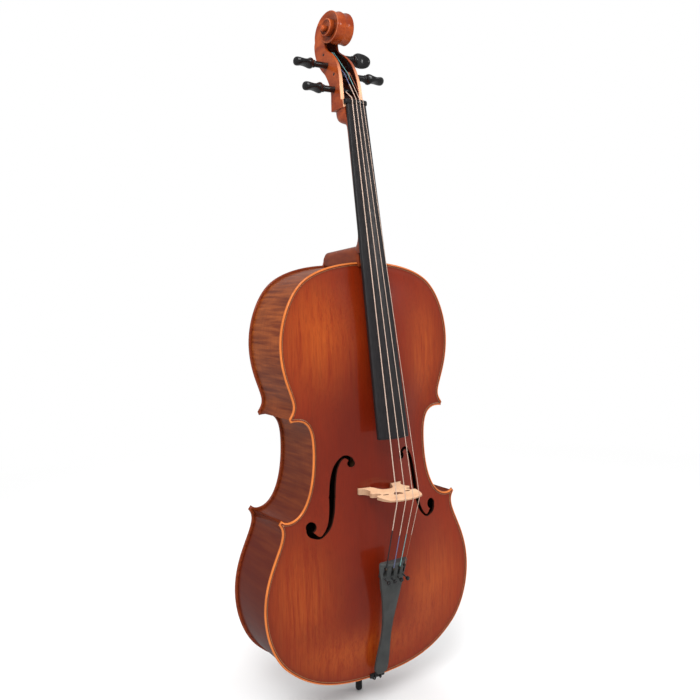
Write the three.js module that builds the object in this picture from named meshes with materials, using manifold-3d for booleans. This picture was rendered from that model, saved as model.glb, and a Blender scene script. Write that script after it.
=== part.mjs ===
// A full-size cello. Millimetres, +Z up, the front faces -Y and +X is the treble side.
// The origin is the middle of the rubber foot's flat underside, on the endpin's axis.
// Everything above the foot is drawn from the body's lower edge, BODY_BOTTOM over the floor.
import * as THREE from 'three';
import { mergeVertices } from 'three/addons/utils/BufferGeometryUtils.js';
import Module from 'manifold-3d';

const wasm = await Module();
wasm.setup();

// ---- driving dimensions -------------------------------------------------------------------
const BODY_LENGTH = 755;
const BODY_BOTTOM = 52; // the pushed-in endpin's foot lies this far under the body
const RIB_HEIGHT = 116;
const EDGE_THICKNESS = 4.5; // of the two plates, at their edges
const OVERHANG = 4.5; // of the plates over the ribs
const RIB_THICKNESS = 1.5;
const LINING = { thickness: 2.2, height: 16 };
const GAP = 0.3; // clearance between neighbours
const ARCH_HEIGHT = 26;
const ARCH_MARGIN = 9; // from the outline in to the lowest line of the arching
const UPPER_BOUT = { half: 177, z: 612 };
const WAIST = { half: 119.5, z: 431 };
const LOWER_BOUT = { half: 220.5, z: 167 };
const BRIDGE_Z = 355; // the bridge's place over the body's lower edge
const STRING_CROWN = -174; // y of the middle of the bridge's top curve
const BRIDGE_RADIUS = 75;
const STRINGS = [
  { name: 'C', radius: 0.9, bridgeX: -23.5, nutX: -11.5 },
  { name: 'G', radius: 0.72, bridgeX: -8, nutX: -3.9 },
  { name: 'D', radius: 0.58, bridgeX: 8, nutX: 3.9 },
  { name: 'A', radius: 0.48, bridgeX: 23.5, nutX: 11.5 },
];
const NECK_TOP = { y: -35, z: 1032 }; // where the neck, the fingerboard and the nut meet
const BOARD_END = { y: -127, z: 451 }; // underside of the fingerboard's free end
const BOARD = { nutHalf: 19.5, endHalf: 31.5, edge: 7, camber: 63 };
const NUT = { half: 23, height: 9 };
const PEGS = [
  { name: 'C', side: -1, y: -3, z: 1064 },
  { name: 'A', side: 1, y: -0.5, z: 1092 },
  { name: 'G', side: -1, y: 27.5, z: 1114.5 },
  { name: 'D', side: 1, y: 42, z: 1138 },
];
const PEG_END = 85; // |x| of a peg head's end
const VOLUTE = { y: 18.5, z: 1176.5 }; // the scroll's eye
const TAILPIECE = { y: -134.5, z: 232, length: 228, tilt: 0.244 };
const TUNER_X = [-19.8, -6.6, 6.6, 19.8];

const HALF_RIB = RIB_HEIGHT / 2;
const EDGE_PLANE = HALF_RIB + EDGE_THICKNESS; // y of the back plate's outer edge
const RIB_INSIDE = OVERHANG + RIB_THICKNESS;

// ---- materials ----------------------------------------------------------------------------
const finish = (color, roughness, metalness = 0) =>
  new THREE.MeshStandardMaterial({ color, roughness, metalness });
const SPRUCE = finish('#8a3a1e', 0.25);
const MAPLE = finish('#7b4a2c', 0.28);
const NECK_MAPLE = finish('#a5562a', 0.3);
const BARE_WOOD = finish('#c9a878', 0.7);
const BRIDGE_MAPLE = finish('#eebb90', 0.6);
const EBONY = finish('#343434', 0.4);
const POLISHED_EBONY = finish('#0d0d0d', 0.18);
const TAILPIECE_PLASTIC = finish('#3c3c3c', 0.5);
const TUNER_METAL = finish('#1c1c1e', 0.35, 0.8);
const STRING_STEEL = finish('#c4c4c8', 0.3, 0.9);
const CORD = finish('#101010', 0.6);
const ROD_STEEL = finish('#b9b9bd', 0.25, 0.95);
const RUBBER = finish('#151515', 0.85);

// ---- solids -------------------------------------------------------------------------------
const vec = (x, y, z) => new THREE.Vector3(x, y, z);
const flat = (x, z) => new THREE.Vector2(x, z);
const mix = THREE.MathUtils.lerp;

// The position-only, merged form of a geometry.
function merged(geometry) {
  const copy = geometry.clone();
  copy.deleteAttribute('normal');
  copy.deleteAttribute('uv');
  return mergeVertices(copy, 1e-4);
}

function toSolid(geometry) {
  const mesh = merged(geometry);
  const vertProperties = new Float32Array(mesh.attributes.position.array);
  const triVerts = new Uint32Array(mesh.index.array);
  return new wasm.Manifold(new wasm.Mesh({ numProp: 3, vertProperties, triVerts }));
}

function toGeometry(solid) {
  const { vertProperties, triVerts } = solid.getMesh();
  const geometry = new THREE.BufferGeometry();
  geometry.setAttribute('position', new THREE.BufferAttribute(new Float32Array(vertProperties), 3));
  geometry.setIndex(new THREE.BufferAttribute(new Uint32Array(triVerts), 1));
  geometry.computeVertexNormals();
  return geometry;
}

const joined = (geometries) => geometries.map(toSolid).reduce((sum, solid) => sum.add(solid));
const cut = (solid, cutters) => cutters.map(toSolid).reduce((rest, c) => rest.subtract(c), solid);

// A geometry from a closed surface, with every triangle turned over if it faces inwards.
function facingOut(points, index) {
  let volume = 0;
  for (let i = 0; i < index.length; i += 3) {
    const [a, b, c] = [points[index[i]], points[index[i + 1]], points[index[i + 2]]];
    volume += a.dot(b.clone().cross(c));
  }
  if (volume < 0) index.reverse();
  const geometry = new THREE.BufferGeometry().setFromPoints(points);
  geometry.setIndex(index);
  geometry.computeVertexNormals();
  return geometry;
}

// A closed skin over a row of rings with equal point counts, capped at both ends.
function loft(rings) {
  const count = rings[0].length;
  const middle = (ring) => ring.reduce((sum, p) => sum.add(p), vec(0, 0, 0)).divideScalar(count);
  const points = [...rings.flat(), middle(rings[0]), middle(rings.at(-1))];
  const lastRing = count * (rings.length - 1);
  const [firstCap, lastCap] = [points.length - 2, points.length - 1];
  const index = [];
  for (let i = 0; i < count; i += 1) {
    const next = (i + 1) % count;
    for (let start = 0; start < lastRing; start += count) {
      index.push(start + i, start + next, start + count + i);
      index.push(start + next, start + count + next, start + count + i);
    }
    index.push(firstCap, next, i);
    index.push(lastCap, lastRing + i, lastRing + next);
  }
  return facingOut(points, index);
}

// A flat shape, drawn with x to the right and z up, given a thickness from yFront to yBack.
function slab(points, yFront, yBack) {
  const shape = points instanceof THREE.Shape ? points : new THREE.Shape(points);
  const options = { depth: yBack - yFront, bevelEnabled: false, curveSegments: 5 };
  const geometry = new THREE.ExtrudeGeometry(shape, options);
  geometry.rotateX(Math.PI / 2);
  geometry.translate(0, yBack, 0);
  return geometry;
}

function box(x0, x1, y0, y1, z0, z1) {
  const geometry = new THREE.BoxGeometry(x1 - x0, y1 - y0, z1 - z0);
  geometry.translate((x0 + x1) / 2, (y0 + y1) / 2, (z0 + z1) / 2);
  return geometry;
}

// A cylinder between two points, or a cone when the second radius differs.
function rod(from, to, radius, endRadius = radius, sides = 16) {
  const axis = to.clone().sub(from);
  const geometry = new THREE.CylinderGeometry(endRadius, radius, axis.length(), sides);
  const turn = new THREE.Quaternion().setFromUnitVectors(vec(0, 1, 0), axis.normalize());
  geometry.applyQuaternion(turn);
  geometry.translate(...from.clone().add(to).divideScalar(2).toArray());
  return geometry;
}

// A round cord along a curve.
function cord(curve, radius, steps, sides) {
  const corners = Array.from({ length: sides }, (_, i) => (2 * Math.PI * i) / sides);
  const section = new THREE.Shape(corners.map((a) => flat(radius * Math.cos(a), radius * Math.sin(a))));
  const options = { steps, extrudePath: curve, bevelEnabled: false };
  return merged(new THREE.ExtrudeGeometry(section, options));
}

const cello = new THREE.Group();
const body = new THREE.Group();
body.position.z = BODY_BOTTOM;
cello.add(body);

function place(name, geometry, material, parent = body) {
  const piece = new THREE.Mesh(geometry, material);
  piece.name = name;
  parent.add(piece);
  return piece;
}

// ---- the outline --------------------------------------------------------------------------
// The treble half in three runs: upper bout, waist and lower bout, from top to bottom.
// Neighbouring runs are joined by the short flat end of a corner.
const bezier = (...points) => new THREE.CubicBezierCurve(...points.map(([x, z]) => flat(x, z)));
const { half: upperX, z: upperZ } = UPPER_BOUT;
const { half: waistX, z: waistZ } = WAIST;
const { half: lowerX, z: lowerZ } = LOWER_BOUT;
const OUTLINE = {
  upper: [
    { curve: bezier([0, BODY_LENGTH], [40, BODY_LENGTH], [92, 749], [126, 726.5]), steps: 6 },
    { curve: bezier([126, 726.5], [159, 704.5], [upperX, 652], [upperX, upperZ]), steps: 7 },
    { curve: bezier([upperX, upperZ], [upperX, 560], [155, 529], [155, 511]), steps: 6 },
    { curve: bezier([155, 511], [155, 502], [160, 497], [164, 491]), steps: 2 },
  ],
  middle: [
    { curve: bezier([161.5, 484.5], [129, 489.5], [waistX, 472], [waistX, waistZ]), steps: 7 },
    { curve: bezier([waistX, waistZ], [waistX, 369], [137, 316], [172, 316.5]), steps: 9 },
    { curve: bezier([172, 316.5], [177, 316.5], [181, 319.5], [184, 322.5]), steps: 2 },
  ],
  lower: [
    { curve: bezier([189.5, 316], [186, 312], [183, 307], [183, 300]), steps: 2 },
    { curve: bezier([183, 300], [183, 272], [lowerX, 233], [lowerX, lowerZ]), steps: 7 },
    { curve: bezier([lowerX, lowerZ], [lowerX, 121], [202, 78.5], [178, 57]), steps: 7 },
    { curve: bezier([178, 57], [133.5, 15.5], [84, 0], [0, 0]), steps: 8 },
  ],
};

const runPoints = (run) =>
  OUTLINE[run].flatMap(({ curve, steps }, i) => curve.getPoints(steps).slice(i ? 1 : 0));

const mirrored = (points) => points.map((p) => flat(-p.x, p.y));

function bodyOutline() {
  const half = [...runPoints('upper'), ...runPoints('middle'), ...runPoints('lower')];
  return [...half, ...mirrored(half.slice(1, -1)).reverse()];
}

// A run moved inwards by a distance; its ends at the centre line stay on the centre line.
function insetRun(run, distance) {
  const points = runPoints(run);
  const reach = 12; // run on past the corners, so that neighbouring runs still cross
  const first = points[0].clone().sub(points[1]).setLength(reach).add(points[0]);
  const last = points.at(-1).clone().sub(points.at(-2)).setLength(reach).add(points.at(-1));
  if (run !== 'upper') points.unshift(first);
  if (run !== 'lower') points.push(last);
  return points.map((p, i) => {
    const before = points[Math.max(i - 1, 0)];
    const after = points[Math.min(i + 1, points.length - 1)];
    const along = after.clone().sub(before).normalize();
    if (Math.abs(p.x) < 1e-6) along.set(Math.sign(along.x), 0);
    return flat(p.x + along.y * distance, p.y - along.x * distance);
  });
}

// Where two rows of points first cross: the place along each row, and the point.
function crossing(first, second) {
  for (let i = 0; i < first.length - 1; i += 1) {
    for (let j = 0; j < second.length - 1; j += 1) {
      const a = first[i + 1].clone().sub(first[i]);
      const b = second[j + 1].clone().sub(second[j]);
      const apart = second[j].clone().sub(first[i]);
      const turn = a.cross(b);
      const s = apart.cross(b) / turn;
      const t = apart.cross(a) / turn;
      if (s >= 0 && s <= 1 && t >= 0 && t <= 1) {
        return { i, j, point: first[i].clone().addScaledVector(a, s) };
      }
    }
  }
  throw new Error('two runs of the outline do not cross');
}

// The three runs moved inwards and ended where they meet inside the corners.
function insetRuns(distance) {
  const [upper, middle, lower] = ['upper', 'middle', 'lower'].map((run) => insetRun(run, distance));
  const high = crossing(upper, middle);
  const low = crossing([...middle].reverse(), lower);
  const lowEnd = middle.length - 1 - low.i;
  return {
    upper: [...upper.slice(0, high.i + 1), high.point],
    middle: [high.point, ...middle.slice(high.j + 1, lowEnd), low.point],
    lower: [low.point, ...lower.slice(low.j + 1)],
  };
}

// The stretch of a row of points between two lengths along it.
function stretch(points, from, to) {
  const path = new THREE.CurvePath();
  points.slice(1).forEach((p, i) => path.add(new THREE.LineCurve(points[i], p)));
  const total = path.getLength();
  const end = to > 0 ? to : total + to;
  const lengths = path.getCurveLengths();
  const inside = points.slice(1, -1).filter((_, i) => lengths[i] > from && lengths[i] < end);
  return [path.getPoint(from / total), ...inside, path.getPoint(end / total)];
}

// ---- arching ------------------------------------------------------------------------------
const smoother = THREE.MathUtils.smootherstep;

// Half the width of the arched area at a height: the outline without its corners.
function archHalf(z) {
  if (z > upperZ) {
    const t = (z - upperZ) / (BODY_LENGTH - upperZ);
    return upperX * (1 - t ** 2.45) ** (1 / 2.45) - ARCH_MARGIN;
  }
  if (z < lowerZ) {
    const t = (lowerZ - z) / lowerZ;
    return lowerX * (1 - t ** 2.3) ** (1 / 2.3) - ARCH_MARGIN;
  }
  const bout = z > waistZ ? UPPER_BOUT : LOWER_BOUT;
  return mix(waistX, bout.half, smoother(Math.abs(z - waistZ), 0, Math.abs(bout.z - waistZ))) - ARCH_MARGIN;
}

// How far the plates' outer surface stands out of their edge plane.
function archHeight(x, z) {
  const middle = BODY_LENGTH / 2;
  const along = Math.min(Math.abs(z - middle) / (middle - ARCH_MARGIN), 1);
  const half = archHalf(THREE.MathUtils.clamp(z, 2 * ARCH_MARGIN, BODY_LENGTH - 2 * ARCH_MARGIN));
  const across = Math.min(Math.abs(x) / Math.max(half, 1), 1);
  const bell = (t, fullness) => (1 + Math.cos(Math.PI * t ** fullness)) / 2;
  return ARCH_HEIGHT * bell(along, 2.8) * bell(across, 1.25);
}

// An arched sheet of even thickness over the whole outline; side is -1 for the front.
function archedSheet(side) {
  const columns = [-1.9, -1, -0.86, -0.7, -0.52, -0.34, -0.17, 0, 0.17, 0.34, 0.52, 0.7, 0.86, 1, 1.9];
  const [lowest, highest, rowCount] = [-8, BODY_LENGTH + 32, 28];
  const rows = Array.from({ length: rowCount }, (_, i) => {
    const t = i / (rowCount - 1);
    return mix(lowest, highest, mix(t, (1 - Math.cos(Math.PI * t)) / 2, 0.4));
  });
  const rings = rows.map((z) => {
    const inside = THREE.MathUtils.clamp(z, 3 * ARCH_MARGIN, BODY_LENGTH - 3 * ARCH_MARGIN);
    const xs = columns.map((u) => u * archHalf(inside));
    const outer = xs.map((x) => vec(x, side * (EDGE_PLANE + archHeight(x, z)), z));
    const inner = xs.map((x) => vec(x, side * (HALF_RIB + archHeight(x, z)), z));
    return [...outer, ...inner.reverse()];
  });
  return loft(rings);
}

// ---- neck and scroll ----------------------------------------------------------------------
const HEEL = { frontHalf: 21, backHalf: 17, frontTop: 784, backTop: 779, foot: 745 };
const BUTTON = { radius: 17, z: 761.5 };
const neckSlope = (NECK_TOP.y - BOARD_END.y) / (NECK_TOP.z - BOARD_END.z);
const boardUnderside = (z) => NECK_TOP.y + (z - NECK_TOP.z) * neckSlope;
const boardHalf = (z) =>
  mix(BOARD.endHalf, BOARD.nutHalf, (z - BOARD_END.z) / (NECK_TOP.z - BOARD_END.z));

// The heel is a deep block with a rounded top, let into the body; grown makes its socket.
function heel(grown) {
  const depths = [-70, -40, -15, 15, 45, EDGE_PLANE - EDGE_THICKNESS - GAP + 2 * grown];
  return loft(depths.map((y) => {
    const t = THREE.MathUtils.clamp((y + 40) / 98, 0, 1);
    const half = mix(HEEL.frontHalf, HEEL.backHalf, t) + grown;
    const top = mix(HEEL.frontTop, HEEL.backTop, t) + grown;
    const arc = Array.from({ length: 11 }, (_, i) => {
      const a = (Math.PI * i) / 10;
      const boxy = (v) => Math.sign(v) * Math.abs(v) ** 0.72;
      return vec(half * boxy(Math.cos(a)), y, top - half + half * boxy(Math.sin(a)));
    });
    return [vec(half, y, HEEL.foot - grown), ...arc, vec(-half, y, HEEL.foot - grown)];
  }));
}

// One flat-fronted, round-backed section of the neck, at a height.
function neckSection(z, half, back, squareness = 2) {
  const front = boardUnderside(z) + GAP;
  const arc = Array.from({ length: 11 }, (_, i) => {
    const a = (Math.PI * i) / 10;
    const bend = (v) => Math.sign(v) * Math.abs(v) ** (2 / squareness);
    return vec(half * bend(Math.cos(a)), front + (back - front) * bend(Math.sin(a)), z);
  });
  return arc;
}

function neckShaft() {
  const handle = [770, 784, 790, 797, 806, 900, 980].map((z) => {
    const flare = Math.max(0, (806 - z) / 22) ** 2;
    const depth = mix(18, 20, (z - 806) / 174) + 14 * flare;
    return neckSection(z, boardHalf(z) - 4, boardUnderside(z) + depth);
  });
  const chin = [
    { z: 994, half: 16.6, back: -21, squareness: 2 },
    { z: 1001, half: 17.4, back: -16.5, squareness: 2.2 },
    { z: 1004, half: 18.2, back: -9, squareness: 2.5 },
    { z: 1007, half: 19.4, back: -1, squareness: 2.9 },
    { z: 1012, half: 20.5, back: 5, squareness: 3.2 },
    { z: 1019, half: 21, back: 7.6, squareness: 3.4 },
    { z: 1028, half: 21.3, back: 8, squareness: 3.5 },
  ].map(({ z, half, back, squareness }) => neckSection(z, half, back, squareness));
  return loft([...handle, ...chin]);
}

// The pegbox: rings from the nut up to the back of the head. Each ring runs from the open
// front edge round the back, which has two flutes with a ridge between them.
const PEGBOX = [
  { front: [-35, 1027], back: [9, 1027], half: 23.2 },
  { front: [-33.5, 1041], back: [9, 1041], half: 23.2 },
  { front: [-27, 1042], back: [9, 1045], half: 23.2 },
  { front: [-24.5, 1062], back: [9.5, 1060], half: 23 },
  { front: [-20.5, 1082], back: [18, 1078], half: 21.5 },
  { front: [-13, 1102], back: [34, 1098], half: 19.5 },
  { front: [-3, 1117], back: [50, 1111], half: 18 },
  { front: [15, 1133], back: [65, 1127], half: 16.5 },
  { front: [37, 1149], back: [75, 1144], half: 15.5 },
  { front: [36, 1172], back: [79, 1163], half: 15 },
  { front: [20, 1179], back: [72, 1180], half: 15 },
];
const FLUTE = 2.2;

function pegboxRing({ front, back, half }, flute = FLUTE) {
  const [[fy, fz], [by, bz]] = [front, back];
  const depth = Math.hypot(by - fy, bz - fz);
  const [dy, dz] = [(by - fy) / depth, (bz - fz) / depth];
  const at = (x, d) => vec(x, fy + dy * d, fz + dz * d);
  const side = (s) => [at(s * half, 0), at(s * half, depth - 1), at(s * half * 0.5, depth - flute)];
  return [...side(-1), at(0, depth), ...side(1).reverse()];
}

// The hollow of the pegbox, open to the front and ending under the scroll.
function pegboxHollow() {
  const [wall, floor] = [8.5, 10];
  return loft(PEGBOX.slice(2, 9).map(({ front, back, half }, i) => {
    const [fy, fz] = front;
    const [by, bz] = back;
    const depth = Math.hypot(by - fy, bz - fz);
    const at = (x, d) => vec(x, fy + ((by - fy) * d) / depth, fz + ((bz - fz) * d) / depth);
    const inside = half - wall + (i > 4 ? 1 : 0);
    const open = i === 6 ? -2 : -20;
    return [at(-inside, open), at(-inside, depth - floor), at(inside, depth - floor), at(inside, open)];
  }));
}

// The volute winds inwards from the back of the head, widening towards the eye.
const VOLUTE_TURNS = [
  { from: -20, to: 190 },
  { from: 175, to: 385 },
  { from: 370, to: 580 },
  { from: 565, to: 745 },
];

// Radius of the volute's rim at an angle from straight back, counted over the top.
function voluteRadius(degrees) {
  if (degrees < 90) return mix(49, 33, Math.max(0, degrees) / 90);
  return degrees < 180 ? mix(33, 26.5, (degrees - 90) / 90) : 26.5 - (degrees - 180) * 0.0315;
}

function voluteTurn({ from, to }) {
  const steps = Math.round((to - from) / 17);
  return loft(Array.from({ length: steps + 1 }, (_, i) => {
    const degrees = mix(from, to, i / steps);
    const a = THREE.MathUtils.degToRad(degrees);
    const radius = voluteRadius(degrees);
    const half = mix(15, 29, THREE.MathUtils.clamp((degrees - 60) / 660, 0, 1));
    const hub = 1.5;
    const at = (x, r) => vec(x, VOLUTE.y + 1.18 * r * Math.cos(a), VOLUTE.z + r * Math.sin(a));
    const side = (s) => [at(s * (half - 5), hub), at(s * half, radius), at(s * half * 0.5, radius - FLUTE)];
    return [...side(-1), at(0, radius + 0.5), ...side(1).reverse()];
  }));
}

function neckAndScroll() {
  const eye = rod(vec(-31.5, VOLUTE.y, VOLUTE.z), vec(31.5, VOLUTE.y, VOLUTE.z), 5, 5, 12);
  const whole = joined([
    heel(0),
    neckShaft(),
    loft(PEGBOX.map((ring) => pegboxRing(ring))),
    ...VOLUTE_TURNS.map(voluteTurn),
    eye,
  ]);
  const pegHoles = PEGS.map(({ y, z }) => rod(vec(-40, y, z), vec(40, y, z), 7, 7, 12));
  return toGeometry(cut(whole, [pegboxHollow(), ...pegHoles]));
}

place('neck_and_scroll', neckAndScroll(), NECK_MAPLE);

// ---- plates -------------------------------------------------------------------------------
// The sound hole of the treble side: a curved stem, an eye at each end and two small nicks.
const SOUND_HOLE = {
  upperEye: { x: 54, z: 405, radius: 6.6 },
  lowerEye: { x: 129.5, z: 301.5, radius: 9.6 },
  outerEdge: [
    [50.2, 408.5], [49.9, 412], [54, 416.6], [60.5, 419.6], [67.5, 419], [75.6, 412.2],
    [81.8, 403.7], [86.2, 393.5], [91, 374], [94, 350], [95.8, 328], [99.6, 306],
    [106.9, 291.5], [115.2, 284.3], [125.5, 292],
  ],
  innerEdge: [
    [137.5, 300], [138.6, 295.5], [137.3, 291], [134.8, 286.9], [129.5, 283.2], [116, 280],
    [104, 287], [93.8, 300], [87.2, 321], [83.8, 345], [80.9, 370], [77.3, 393],
    [72.6, 405.5], [68.3, 411.9], [63.3, 414.4], [58.6, 411], [57.5, 408],
  ],
  nickZ: 349,
  nicks: [{ x: 94.1, depth: 1.8 }, { x: 83.6, depth: -1.8 }],
};

function soundHoleCutters(side) {
  const edge = (points) => new THREE.SplineCurve(points.map(([x, z]) => flat(side * x, z))).getPoints(22);
  const { upperEye, lowerEye, outerEdge, innerEdge, nickZ, nicks } = SOUND_HOLE;
  const stem = slab([...edge(outerEdge), ...edge(innerEdge)], -110, -40);
  const eyes = [upperEye, lowerEye].map(({ x, z, radius }) =>
    rod(vec(side * x, -110, z), vec(side * x, -40, z), radius, radius, 16));
  const notches = nicks.map(({ x, depth }) => slab([
    flat(side * (x - depth), nickZ - 3),
    flat(side * (x + depth), nickZ),
    flat(side * (x - depth), nickZ + 3),
  ], -110, -40));
  return [stem, ...eyes, ...notches];
}

const SADDLE = { half: 15, height: 8, proud: 4 };

function topPlate() {
  const blank = toSolid(archedSheet(-1)).intersect(toSolid(slab(bodyOutline(), -110, -40)));
  const grownSaddle = box(
    -SADDLE.half - GAP, SADDLE.half + GAP, -80, -50, -10, SADDLE.height + GAP);
  return toGeometry(cut(blank, [
    heel(GAP),
    grownSaddle,
    ...soundHoleCutters(-1),
    ...soundHoleCutters(1),
  ]));
}

// The back plate carries the button, a half-round tongue that backs the heel.
function backPlate() {
  const tongue = rod(vec(0, 40, BUTTON.z), vec(0, 110, BUTTON.z), BUTTON.radius, BUTTON.radius, 28);
  const shank = box(-BUTTON.radius, BUTTON.radius, 40, 110, BODY_LENGTH - 20, BUTTON.z);
  const outline = joined([slab(bodyOutline(), 40, 110), tongue, shank]);
  return toGeometry(toSolid(archedSheet(1)).intersect(outline));
}

place('top_plate', topPlate(), SPRUCE);
place('back_plate', backPlate(), MAPLE);

// ---- ribs, linings and blocks -------------------------------------------------------------
const SOCKET = { plug: 12, tip: 10, depth: 36, shoulder: 14.8, neck: 12.4, collar: 14.5, bore: 4.6 };

function strip(points, otherSide, yFront, yBack) {
  return slab([...points, ...[...otherSide].reverse()], yFront, yBack);
}

const sided = (points, side) => (side < 0 ? mirrored(points) : points);
const SIDES = [{ name: 'bass', side: -1 }, { name: 'treble', side: 1 }];
const RUNS = ['upper', 'middle', 'lower'];
const ribOuter = insetRuns(OVERHANG);
const ribInner = insetRuns(RIB_INSIDE);
const socketHole = rod(vec(0, 0, -20), vec(0, 0, 60), SOCKET.plug + 0.8);

function rib(run, side) {
  const wood = strip(
    sided(stretch(ribOuter[run], GAP, -GAP), side),
    sided(stretch(ribInner[run], GAP, -GAP), side),
    -HALF_RIB + GAP, HALF_RIB - GAP);
  if (run === 'middle') return wood;
  return toGeometry(cut(toSolid(wood), [run === 'upper' ? heel(GAP) : socketHole]));
}

// Each lining glues a rib to one plate, and stops short of the blocks.
const BLOCK = { topHalf: 64, bottomHalf: 56, corner: 40, topDepth: 34, bottomDepth: 32 };
const liningEnds = {
  upper: [BLOCK.topHalf + 1.5, -BLOCK.corner - 1.5],
  middle: [BLOCK.corner + 1.5, -BLOCK.corner - 1.5],
  lower: [BLOCK.corner + 1.5, -BLOCK.bottomHalf - 1.5],
};
const liningOuter = insetRuns(RIB_INSIDE + GAP);
const liningInner = insetRuns(RIB_INSIDE + GAP + LINING.thickness);

function lining(run, side, face) {
  const [from, to] = liningEnds[run];
  const near = HALF_RIB - GAP;
  const far = near - LINING.height;
  const [yFront, yBack] = face < 0 ? [-near, -far] : [far, near];
  return strip(
    sided(stretch(liningOuter[run], from, to), side),
    sided(stretch(liningInner[run], from, to), side),
    yFront, yBack);
}

// A corner block fills the angle between two ribs, with a hollowed inner face.
function cornerBlock(first, second, side) {
  const one = stretch(liningOuter[first], liningLength(first) - BLOCK.corner, -GAP);
  const two = stretch(liningOuter[second], GAP, BLOCK.corner);
  return slab(sided([...one, ...two], side), -HALF_RIB + GAP, HALF_RIB - GAP);
}

function liningLength(run) {
  return liningOuter[run].slice(1).reduce((sum, p, i) => sum + p.distanceTo(liningOuter[run][i]), 0);
}

function endBlock(run, half, depth) {
  const arc = run === 'upper' ? liningOuter.upper : [...liningOuter.lower].reverse();
  const edge = stretch(arc, 0, half);
  const inner = edge[0].y + (run === 'upper' ? -depth : depth);
  const chamfer = 8;
  const right = [...edge, flat(edge.at(-1).x - chamfer, inner)];
  return slab([...mirrored(right.slice(1)).reverse(), ...right], -HALF_RIB + GAP, HALF_RIB - GAP);
}

for (const { name, side } of SIDES) {
  for (const run of RUNS) {
    place(`rib_${run}_${name}`, rib(run, side), MAPLE);
    place(`lining_${run}_${name}_front`, lining(run, side, -1), BARE_WOOD);
    place(`lining_${run}_${name}_back`, lining(run, side, 1), BARE_WOOD);
  }
  place(`block_upper_corner_${name}`, cornerBlock('upper', 'middle', side), BARE_WOOD);
  place(`block_lower_corner_${name}`, cornerBlock('middle', 'lower', side), BARE_WOOD);
}
place(
  'block_top',
  toGeometry(cut(toSolid(endBlock('upper', BLOCK.topHalf, BLOCK.topDepth)), [heel(GAP)])),
  BARE_WOOD);
place(
  'block_bottom',
  toGeometry(cut(toSolid(endBlock('lower', BLOCK.bottomHalf, BLOCK.bottomDepth)), [socketHole])),
  BARE_WOOD);

// ---- bass bar and sound post --------------------------------------------------------------
const BASS_BAR = { x: -36, width: 11, from: 92, to: 668, height: 24, end: 5 };
const SOUND_POST = { x: 36, z: 334, radius: 5.5 };

// The bar's glued face follows the inside of the top plate.
function bassBar() {
  const { x, width, from, to, height, end } = BASS_BAR;
  const count = 15;
  return loft(Array.from({ length: count }, (_, i) => {
    const t = i / (count - 1);
    const z = mix(from, to, t);
    const tall = mix(end, height, Math.sin(Math.PI * t) ** 0.8);
    const glued = (px) => -HALF_RIB - archHeight(px, z) + 3 * GAP;
    const [left, right] = [x - width / 2, x + width / 2];
    const back = glued(x) + tall;
    return [
      vec(left, glued(left), z),
      vec(right, glued(right), z),
      vec(right, back, z),
      vec(left, back, z),
    ];
  }));
}

function soundPost() {
  const { x, z, radius } = SOUND_POST;
  const end = HALF_RIB + archHeight(x + radius, z - radius) - 2 * GAP;
  return rod(vec(x, -end, z), vec(x, end, z), radius, radius, 16);
}

place('bass_bar', bassBar(), BARE_WOOD);
place('sound_post', soundPost(), BARE_WOOD);

// ---- fingerboard, nut and saddle ----------------------------------------------------------
// y of the fingerboard's playing surface
const boardTop = (x, z) => {
  const half = boardHalf(z);
  const drop = BOARD.camber - Math.sqrt(BOARD.camber ** 2 - half ** 2);
  const rise = Math.sqrt(BOARD.camber ** 2 - x ** 2) - BOARD.camber + drop;
  return boardUnderside(z) - BOARD.edge - rise;
};

function fingerboard() {
  const ends = [BOARD_END.z, NECK_TOP.z - GAP];
  return loft(ends.map((z) => {
    const half = boardHalf(z);
    const top = Array.from({ length: 9 }, (_, i) => {
      const x = mix(half, -half, i / 8);
      return vec(x, boardTop(x, z), z);
    });
    return [...top, vec(-half, boardUnderside(z) - GAP, z), vec(half, boardUnderside(z) - GAP, z)];
  }));
}

const NUT_TOP = boardTop(0, NECK_TOP.z) - 1;

function nut() {
  const [low, high] = [NECK_TOP.z + GAP, NECK_TOP.z + NUT.height];
  const crown = Array.from({ length: 9 }, (_, i) => mix(NUT.half, -NUT.half, i / 8));
  return loft([low, mix(low, high, 0.5), high].map((z, i) => {
    const drop = i === 2 ? 2 : 0;
    const top = crown.map((x) => vec(x, NUT_TOP + 0.0085 * x * x + drop, z));
    return [...top, vec(-NUT.half, NECK_TOP.y, z), vec(NUT.half, NECK_TOP.y, z)];
  }));
}

function saddle() {
  const { half, height, proud } = SADDLE;
  const front = -EDGE_PLANE - proud;
  const profile = [
    [front, 2], [front + 1.5, -0.5], [-HALF_RIB - GAP, -1], [-HALF_RIB - GAP, height], [front + 4, height],
    [front + 1, 6],
  ];
  return loft([-half, half].map((x) => profile.map(([y, z]) => vec(x, y, z))));
}

place('fingerboard', fingerboard(), EBONY);
place('nut', toGeometry(toSolid(nut())), POLISHED_EBONY);
place('saddle', saddle(), POLISHED_EBONY);

// ---- pegs ---------------------------------------------------------------------------------
// The side walls' half width at a height, where a peg passes through them.
function pegboxHalf(z) {
  const above = PEGBOX.findIndex(({ front, back }) => (front[1] + back[1]) / 2 > z);
  const [low, high] = [PEGBOX[above - 1], PEGBOX[above]];
  const [from, to] = [low, high].map(({ front, back }) => (front[1] + back[1]) / 2);
  return mix(low.half, high.half, (z - from) / (to - from));
}

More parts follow.
